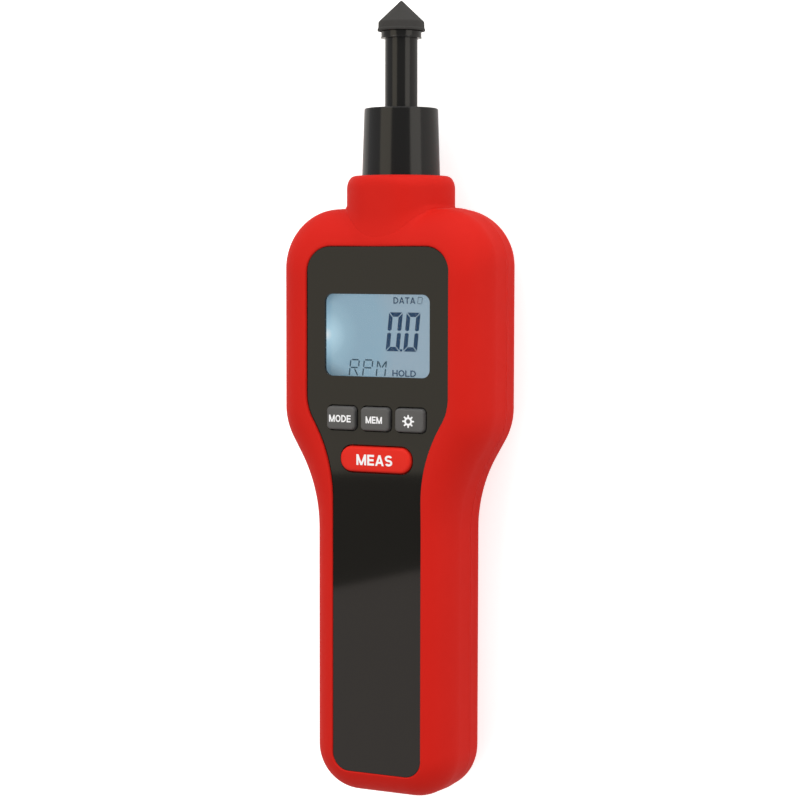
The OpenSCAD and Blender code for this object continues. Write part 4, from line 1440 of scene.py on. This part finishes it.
@dataclass
class Key:
    """A push key: a soft-edged, slightly crowned cap on its flange."""

    node: str
    corner_r: float
    finish: Finish
    slot: str
    flange: float = 0.5
    flange_t: float = 1.2
    stem_l: float = 0.9
    edge_r: float = 0.6
    crown: float = 0.10
    draft: float = 0.12
    least_r: float = 0.2
    pole_share: float = 0.02
    ink_t: float = 0.03
    ink_sink: float = 0.09
    ink_share: float = 0.8

    def __post_init__(self) -> None:
        """Takes the key's place from the frame; the ink fits under the node's top."""
        self.low, self.high = node_box(self.node)
        self.middle = (self.low[:2] + self.high[:2]) / 2
        self.half = (self.high[:2] - self.low[:2]) / 2 - self.flange
        self.top = self.high[2] - self.ink_t
        self.ink = (self.top - self.ink_sink, self.top + self.ink_share * self.ink_t)

    def dress(self) -> None:
        """Builds the key's surface.

        Each row is the rounded rectangle moved in by an inset at a height: flange, wall, a quarter
        round of radius edge_r, and then a crown that falls off with the square of the distance.
        """
        middle, foot = self.middle, self.low[2] + self.stem_l
        wall, rim = foot + self.flange_t, self.top - self.crown
        steps = [(-self.flange, foot), (-self.flange, wall), (0.0, wall)]
        steps += [(self.draft + self.edge_r * (1 - math.cos(a)), rim - self.edge_r * (1 - math.sin(a)))
                  for a in np.linspace(0, math.pi / 2, 7)]
        rows = []
        for inset, z in steps:
            loop = rounded_rectangle(self.half[0] - inset, self.half[1] - inset,
                                     max(self.corner_r - max(inset, 0), self.least_r))
            rows.append(np.column_stack([middle + loop, np.full(len(loop), z)]))
        face = rows[-1]
        for s in np.linspace(1, self.pole_share, 9)[1:]:
            rows.append(np.column_stack([middle + (face[:, :2] - middle) * s,
                                         np.full(len(face), rim + self.crown * (1 - s * s))]))
        piece = Piece(self.node + "_cap")
        piece.add_grid(np.array(rows), Wrap.ROUND, caps=True)
        place(piece.build(self.finish), self.node, self.slot, self.node)

    def print_mark(self, mark: Word | Sun, kind: str) -> None:
        """Prints a word or a sun on the key's crown; the kind ends the name of the ink."""
        ink = mark.build(f"{self.node}_{kind}", self.middle, *self.ink, WHITE_INK)
        place(ink, self.node, self.slot)


@dataclass
class Keypad:
    """The four keys and what is printed on them."""

    grey_r: float = 1.3
    red_r: float = 3.4
    red_edge_r: float = 0.8
    mode: Word = Word("MODE", 6.65, 1.95, (-0.075, -0.125))
    memory: Word = Word("MEM", 4.95, 1.9, (-0.075, -0.2))
    measure: Word = Word("MEAS", 10.9, 2.95, (-0.05, -0.125))
    sun: Sun = Sun(1.75, (-0.1, -0.2))

    def dress(self) -> None:
        """Builds the keys and prints them."""
        grey = [Key(name + "_key", self.grey_r, GREY_RUBBER, "grey_key")
                for name in ("mode", "memory", "backlight")]
        red = Key("measure_key", self.red_r, RED_RUBBER, "red_key", edge_r=self.red_edge_r)
        for key in (*grey, red):
            key.dress()
        grey[0].print_mark(self.mode, "word")
        grey[1].print_mark(self.memory, "word")
        grey[2].print_mark(self.sun, "sun")
        red.print_mark(self.measure, "word")


# Display


@dataclass
class Display:
    """Display cell, its segments and its small words, under the clear lens."""

    slant: float = 0.10
    ink_t: float = 0.02
    lamp_in: float = 1.6
    lamp_reach: tuple[float, float] = (22.0, 24.0)
    fan_shift: tuple[float, float] = (26.5, 0.8)
    fan_reach: tuple[float, float] = (36.0, 16.5)
    digit_at: tuple[float, float] = (1.75, -4.25)
    digit_size: tuple[float, float] = (4.15, 10.6)
    digit_t: float = 1.2
    digit_gap: float = 0.2
    digit_pitch: float = 5.3
    point_at: tuple[float, float] = (6.05, -4.3)
    point_size: tuple[float, float] = (0.7, 0.65)
    point_lean: float = 0.05
    unit_at: tuple[float, float] = (-9.4, -11.1)
    unit_size: tuple[float, float] = (2.6, 4.3)
    unit_t: float = 0.38
    unit_slant: float = 0.12
    unit_pitch: float = 4.15
    count_at: tuple[float, float] = (11.35, 8.75)
    count_t: float = 0.16
    words: tuple[Word, ...] = (Word("DATA", 6.6, 1.75, (7.4, 9.575), Weight.PLAIN),
                               Word("HOLD", 7.1, 1.75, (7.35, -10.225), Weight.PLAIN))

    def __post_init__(self) -> None:
        """Takes the cell's place from the frame."""
        self.low, high = node_box("lcd_glass")
        self.middle = (self.low[:2] + high[:2]) / 2
        self.z = high[2]

    def segment(self, piece: Piece, corners: Sequence[Sequence[float]]) -> None:
        """Adds one flat segment as a thin closed prism.

        Args:
            piece: Piece that gets it.
            corners: Corners that turn left, from the middle of the cell.
        """
        piece.add_prism(self.middle + np.array(corners), self.z, self.z + self.ink_t)

    def zero(self, piece: Piece, x: float, y: float) -> None:
        """Adds a slanted seven-segment zero.

        Args:
            piece: Piece that gets it.
            x: Left side of the digit at its foot.
            y: Foot of the digit.
        """
        (w, h), t, gap = self.digit_size, self.digit_t, self.digit_gap
        half, mitre, notch = np.array([w, h]) / 2, t + 0.4 * gap, 0.42 * t
        cap = [(gap, 0), (w - gap, 0), (w - mitre, t), (mitre, t)]
        side = [(0, gap), (t, t + gap), (t, h / 2 - notch), (t / 2, h / 2 - gap), (0, h / 2 - notch)]
        for corners, flips in ((cap, ((1, 1), (1, -1))),
                               (side, ((1, 1), (-1, 1), (-1, -1), (1, -1)))):
            for flip in flips:
                flat = (np.array(corners) - half) * flip + half
                flat[:, 0] += self.slant * flat[:, 1]
                self.segment(piece, (flat + (x, y))[::flip[0] * flip[1]])

    def stroke(self, piece: Piece, a: Sequence[float], b: Sequence[float], t: float) -> None:
        """Adds a thin straight segment.

        Args:
            piece: Piece that gets it.
            a: First end, from the middle of the cell.
            b: Last end.
            t: Width.
        """
        a, b = np.array(a), np.array(b)
        way = (b - a) / np.linalg.norm(b - a)
        side = np.array([-way[1], way[0]]) * t / 2
        self.segment(piece, [a - side, b - side, b + side, a + side])

    def unit(self, piece: Piece) -> None:
        """Adds the thin outline letters of the unit, drawn as strokes on a cell of size 1.

        Args:
            piece: Piece that gets them.
        """
        stem = [((0, 0), (0, 0.45)), ((0, 0.55), (0, 0.95))]
        bowl = [((0.1, 1), (0.9, 1)), ((1, 0.95), (1, 0.58)), ((0.9, 0.5), (0.1, 0.5))]
        leg = [((0.55, 0.42), (1, 0))]
        valley = [((0.08, 0.9), (0.42, 0.55)), ((0.58, 0.55), (0.92, 0.9)), ((1, 0.95), (1, 0.55)),
                  ((1, 0.45), (1, 0))]
        w, h = self.unit_size
        for k, strokes in enumerate((stem + bowl + leg, stem + bowl, stem + valley)):
            x, y = self.unit_at[0] + k * self.unit_pitch, self.unit_at[1]
            for ends in strokes:
                a, b = [(x + u * w + self.unit_slant * v * h, y + v * h) for u, v in ends]
                self.stroke(piece, a, b, self.unit_t)

    def count(self, piece: Piece) -> None:
        """Adds the small outlined zero that counts the stored readings.

        Args:
            piece: Piece that gets it.
        """
        for ends in (((0, 0.1), (0.2, 1.65)), ((0.15, 1.75), (1.35, 1.75)),
                     ((1.45, 1.65), (1.25, 0.1)), ((1.15, 0), (0.05, 0))):
            a, b = np.array(ends) + self.count_at
            self.stroke(piece, a, b, self.count_t)

    def dress(self) -> None:
        """Gives the cell its glow and draws what it shows."""
        x, y = self.low[0] + self.lamp_in, self.middle[1]
        fan = (x + self.fan_shift[0], y + self.fan_shift[1], self.z)
        glow = DisplayFinish("Lit display cell", (x, y, self.z), self.lamp_reach, fan, self.fan_reach)
        cover(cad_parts["lcd_glass"], glow)
        digits = Piece("display_digits")
        for k in range(2):
            self.zero(digits, self.digit_at[0] + k * self.digit_pitch, self.digit_at[1])
        (x, y), (w, h) = self.point_at, self.point_size
        self.segment(digits, bar(x, x + w, y, y + h, self.point_lean))
        place(digits.build(SEGMENT_INK, INK_DEG), "housing", "lcd_cell")
        thin = Piece("display_unit")
        self.unit(thin)
        self.count(thin)
        place(thin.build(FAINT_INK, INK_DEG), "housing", "lcd_cell")
        for word in self.words:
            ink = word.build("display_" + word.letters.lower(), self.middle, self.z,
                             self.z + self.ink_t, SEGMENT_INK)
            place(ink, "housing", "lcd_cell")


# Contact adapter


@dataclass
class Adapter:
    """Pull-off contact adapter: a polished sleeve, a shaft and a rubber cone."""

    sleeve_top_r: float = 10.2
    sleeve_root_r: float = 10.8
    bore_r: float = 6.53
    mouth_r: float = 4.8
    lip_t: float = 2.0
    shaft_r: float = 4.5
    journal_r: float = 2.97
    hub_r: float = 5.55
    shoulder_l: float = 0.6
    hub_lip: float = 0.15
    hub_lip_h: float = 0.5
    hub_h: float = 2.0
    cone_r: float = 6.6
    cone_h: float = 5.9
    cone_lip_h: float = 0.5
    cone_step: float = 0.2
    cone_step_h: float = 0.3
    cone_taper: float = 0.05
    point_r: float = 0.25
    point_h: float = 0.12
    pole_r: float = 0.001
    spigot: float = 11.2
    sleeve_foot_edge: float = 0.4
    sleeve_top_edge: float = 0.45
    mouth_edge: float = 0.3
    journal_edge: float = 0.3
    shoulder_edge: float = 0.2
    hub_lip_edge: float = 0.12
    hub_edge: float = 0.2
    hub_end_edge: float = 0.1
    cone_foot_edge: float = 0.12
    cone_lip_edge: float = 0.15
    cone_step_edge: float = 0.1
    cone_rim_edge: float = 0.35
    point_edge: float = 0.2

    def __post_init__(self) -> None:
        """Takes the places along the spindle from the frame."""
        low, high = node_box("adapter_sleeve")
        self.axis = (low[2] + high[2]) / 2
        self.foot, self.top = low[1], high[1]
        self.shaft_low = node_box("drive_shaft")[0][1]
        self.tip_low, self.tip_high = (c[1] for c in node_box("contact_tip"))

    def turned(self, name: str, profile: Sequence[tuple[float, float, float]]) -> Piece:
        """Makes a turned solid on the spindle axis.

        Args:
            name: Name of the piece.
            profile: Corners from pole to pole, as radius, y and size of the rounding.

        Returns:
            The closed piece, with a tiny cap at each pole.
        """
        line = rounded(profile)
        line[[0, -1], 0] = self.pole_r
        piece = Piece(name)
        piece.add_grid(revolve(line, self.axis, 96), Wrap.ROUND, caps=True)
        return piece

    def sleeve(self) -> None:
        """Builds the tapered sleeve as a closed tube with its bearing bore."""
        inner = self.top - self.lip_t
        line = [(self.bore_r, self.foot, 0), (self.sleeve_root_r, self.foot, self.sleeve_foot_edge),
                (self.sleeve_root_r, self.foot + self.spigot, 0),
                (self.sleeve_top_r, self.top, self.sleeve_top_edge),
                (self.mouth_r, self.top, self.mouth_edge), (self.mouth_r, inner, 0),
                (self.bore_r, inner, 0)]
        piece = Piece("adapter_sleeve_moulding")
        piece.add_grid(revolve(rounded(line), self.axis), Wrap.BOTH)
        place(piece.build(GLOSS_BLACK), "contact_adapter", "adapter_black", "adapter_sleeve")

    def shaft(self) -> None:
        """Builds the stepped shaft with the hub that carries the cone."""
        hub, end, shoulder = self.tip_low - self.hub_h, self.tip_low, self.top - self.lip_t
        line = [(0.0, self.shaft_low, 0), (self.journal_r, self.shaft_low, self.journal_edge),
                (self.journal_r, shoulder, 0),
                (self.shaft_r, shoulder + self.shoulder_l, self.shoulder_edge),
                (self.shaft_r, hub, 0), (self.hub_r + self.hub_lip, hub, self.hub_lip_edge),
                (self.hub_r, hub + self.hub_lip_h, self.hub_edge),
                (self.hub_r, end, self.hub_end_edge), (0.0, end, 0)]
        piece = self.turned("drive_shaft_turning", line)
        place(piece.build(GLOSS_BLACK), "spindle", "shaft_black", "drive_shaft")

    def cone(self) -> None:
        """Builds the rubber cone with its rim and the small lip under it."""
        low, tip = self.tip_low, self.tip_high
        lip, rim_r = low + self.cone_lip_h, self.cone_r - self.cone_step
        line = [(0.0, low, 0), (self.cone_r, low, self.cone_foot_edge),
                (self.cone_r, lip, self.cone_lip_edge),
                (rim_r, lip + self.cone_step_h, self.cone_step_edge),
                (rim_r - self.cone_taper, tip - self.cone_h, self.cone_rim_edge),
                (self.point_r, tip - self.point_h, self.point_edge), (0.0, tip, 0)]
        piece = self.turned("contact_cone_rubber", line)
        place(piece.build(CONE_RUBBER), "spindle", "tip_rubber", "contact_tip")

    def dress(self) -> None:
        """Builds the three visible pieces of the adapter."""
        self.sleeve()
        self.shaft()
        self.cone()


# Studio


@dataclass(frozen=True)
class Lamp:
    """A softbox: an area lamp that faces a point on the meter."""

    name: str
    yaw_deg: float
    pitch_deg: float
    distance: float
    width: float
    height: float
    watts: float
    tone: str = "#ffffff"
    roll_deg: float = 0.0


@dataclass
class Studio:
    """Camera, softboxes, world and floor.

    Directions are turned from the front of the meter: yaw about its length towards its right side,
    and pitch towards its tip.
    """

    yaw_deg: float = 25.77
    pitch_deg: float = 3.94
    roll_deg: float = 0.11
    distance: float = 595.23
    lens: float = 96.0
    target: tuple[float, float, float] = (-0.16, -0.33, 15.28)
    sensor: float = 36.0
    clip_start_m: float = 0.01
    fill_tone: str = "#f3f4f6"
    fill: float = 0.44
    table_half: float = 3000.0
    table_drop: float = 0.05
    table: TableFinish = TableFinish("White table")
    lamps: tuple[Lamp, ...] = (
        Lamp("softbox_left", -22.0, 17.0, 900.0, 560.0, 800.0, 2.1, "#fff4dc"),
        Lamp("softbox_low", -24.0, -30.0, 950.0, 560.0, 640.0, 1.5, "#fff1ea", 13.0),
        Lamp("softbox_right", 71.0, 8.0, 900.0, 560.0, 900.0, 2.8, "#fff9ee"),
        Lamp("softbox_tip", 24.0, 64.0, 1100.0, 1900.0, 800.0, 10.5),
        Lamp("reflector_left", -80.0, 5.0, 850.0, 1500.0, 1500.0, 1.8),
    )

    @staticmethod
    def direction(yaw_deg: float, pitch_deg: float) -> Array:
        """Gives a direction from the front of the meter.

        Args:
            yaw_deg: Turn about the meter's length.
            pitch_deg: Turn towards its tip.

        Returns:
            A unit vector.
        """
        yaw, pitch = math.radians(yaw_deg), math.radians(pitch_deg)
        flat = math.cos(pitch)
        return np.array([math.sin(yaw) * flat, math.sin(pitch), math.cos(yaw) * flat])

    def aim(self, item: bpy.types.Object, back: Array, distance: float, roll_deg: float) -> None:
        """Puts an object at a distance from the target, looking at it, with the tip upwards.

        Args:
            item: Camera or lamp.
            back: Unit vector from the target to the object.
            distance: Distance in millimetres.
            roll_deg: Turn about the line of sight.
        """
        right = np.cross([0.0, 1.0, 0.0], back)
        right /= np.linalg.norm(right)
        up = np.cross(back, right)
        roll = math.radians(roll_deg)
        right, up = (right * math.cos(roll) + up * math.sin(roll),
                     up * math.cos(roll) - right * math.sin(roll))
        where = (np.array(self.target) + back * distance) * MM
        rows = np.eye(4)
        rows[:3, 0], rows[:3, 1], rows[:3, 2], rows[:3, 3] = right, up, back, where
        item.matrix_world = Matrix(rows.tolist())

    def camera(self) -> None:
        """Puts the camera where the photograph was taken from."""
        data = bpy.data.cameras.new("studio_camera")
        data.lens = self.lens
        data.sensor_width = self.sensor
        data.clip_start = self.clip_start_m
        item = bpy.data.objects.new("studio_camera", data)
        bpy.context.scene.collection.objects.link(item)
        self.aim(item, self.direction(self.yaw_deg, self.pitch_deg), self.distance, self.roll_deg)
        bpy.context.scene.camera = item

    def light(self) -> None:
        """Hangs the softboxes and sets an even pale world."""
        for lamp in self.lamps:
            data = bpy.data.lights.new(lamp.name, "AREA")
            data.shape = "RECTANGLE"
            data.size = lamp.width * MM
            data.size_y = lamp.height * MM
            data.energy = lamp.watts
            data.color = linear(lamp.tone)[:3]
            item = bpy.data.objects.new(lamp.name, data)
            bpy.context.scene.collection.objects.link(item)
            self.aim(item, self.direction(lamp.yaw_deg, lamp.pitch_deg), lamp.distance, lamp.roll_deg)
        world = bpy.data.worlds.new("studio_world")
        world.use_nodes = True
        bpy.context.scene.world = world
        tree = world.node_tree
        tree.nodes.clear()
        path = add_node(tree, "ShaderNodeLightPath").outputs
        seen = add_node(tree, "ShaderNodeMath", {"operation": "MAXIMUM"},
                        {0: path["Is Camera Ray"], 1: path["Is Transmission Ray"]})
        fill = add_node(tree, "ShaderNodeBackground",
                        {"Color": linear(self.fill_tone), "Strength": self.fill})
        white = add_node(tree, "ShaderNodeBackground", {"Color": linear("#ffffff"), "Strength": 1.0})
        mix = add_node(tree, "ShaderNodeMixShader", None, {
            "Fac": seen.outputs["Value"], 1: fill.outputs["Background"], 2: white.outputs["Background"]})
        add_node(tree, "ShaderNodeOutputWorld", None, {"Surface": mix.outputs["Shader"]})

    def floor(self) -> None:
        """Lays the white table that the meter rests on."""
        u = np.linspace(-self.table_half, self.table_half, 9)
        x, y = np.meshgrid(u, u)
        piece = Piece("studio_table")
        piece.add_grid(np.stack([x, y, np.full_like(x, -self.table_drop)], -1), Wrap.NONE)
        piece.build(self.table)

    def dress(self) -> None:
        """Sets up the whole studio."""
        bpy.context.scene.view_settings.view_transform = "Standard"
        self.camera()
        self.light()
        self.floor()


def dress_nodes() -> None:
    """Gives the CAD nodes that stay in view their finishes."""
    for node, finish in NODE_FINISHES.items():
        cover(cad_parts[node], finish)
        log.info("%s: %s", node, finish.name)


def main() -> None:
    """Builds the classes in order and reports each piece."""
    logging.basicConfig(level=logging.INFO, format="%(name)s %(message)s")
    Studio().dress()
    dress_nodes()
    for part in (Housing(), Keypad(), Display(), Adapter()):
        part.dress()


if __name__ == "__main__":
    main()
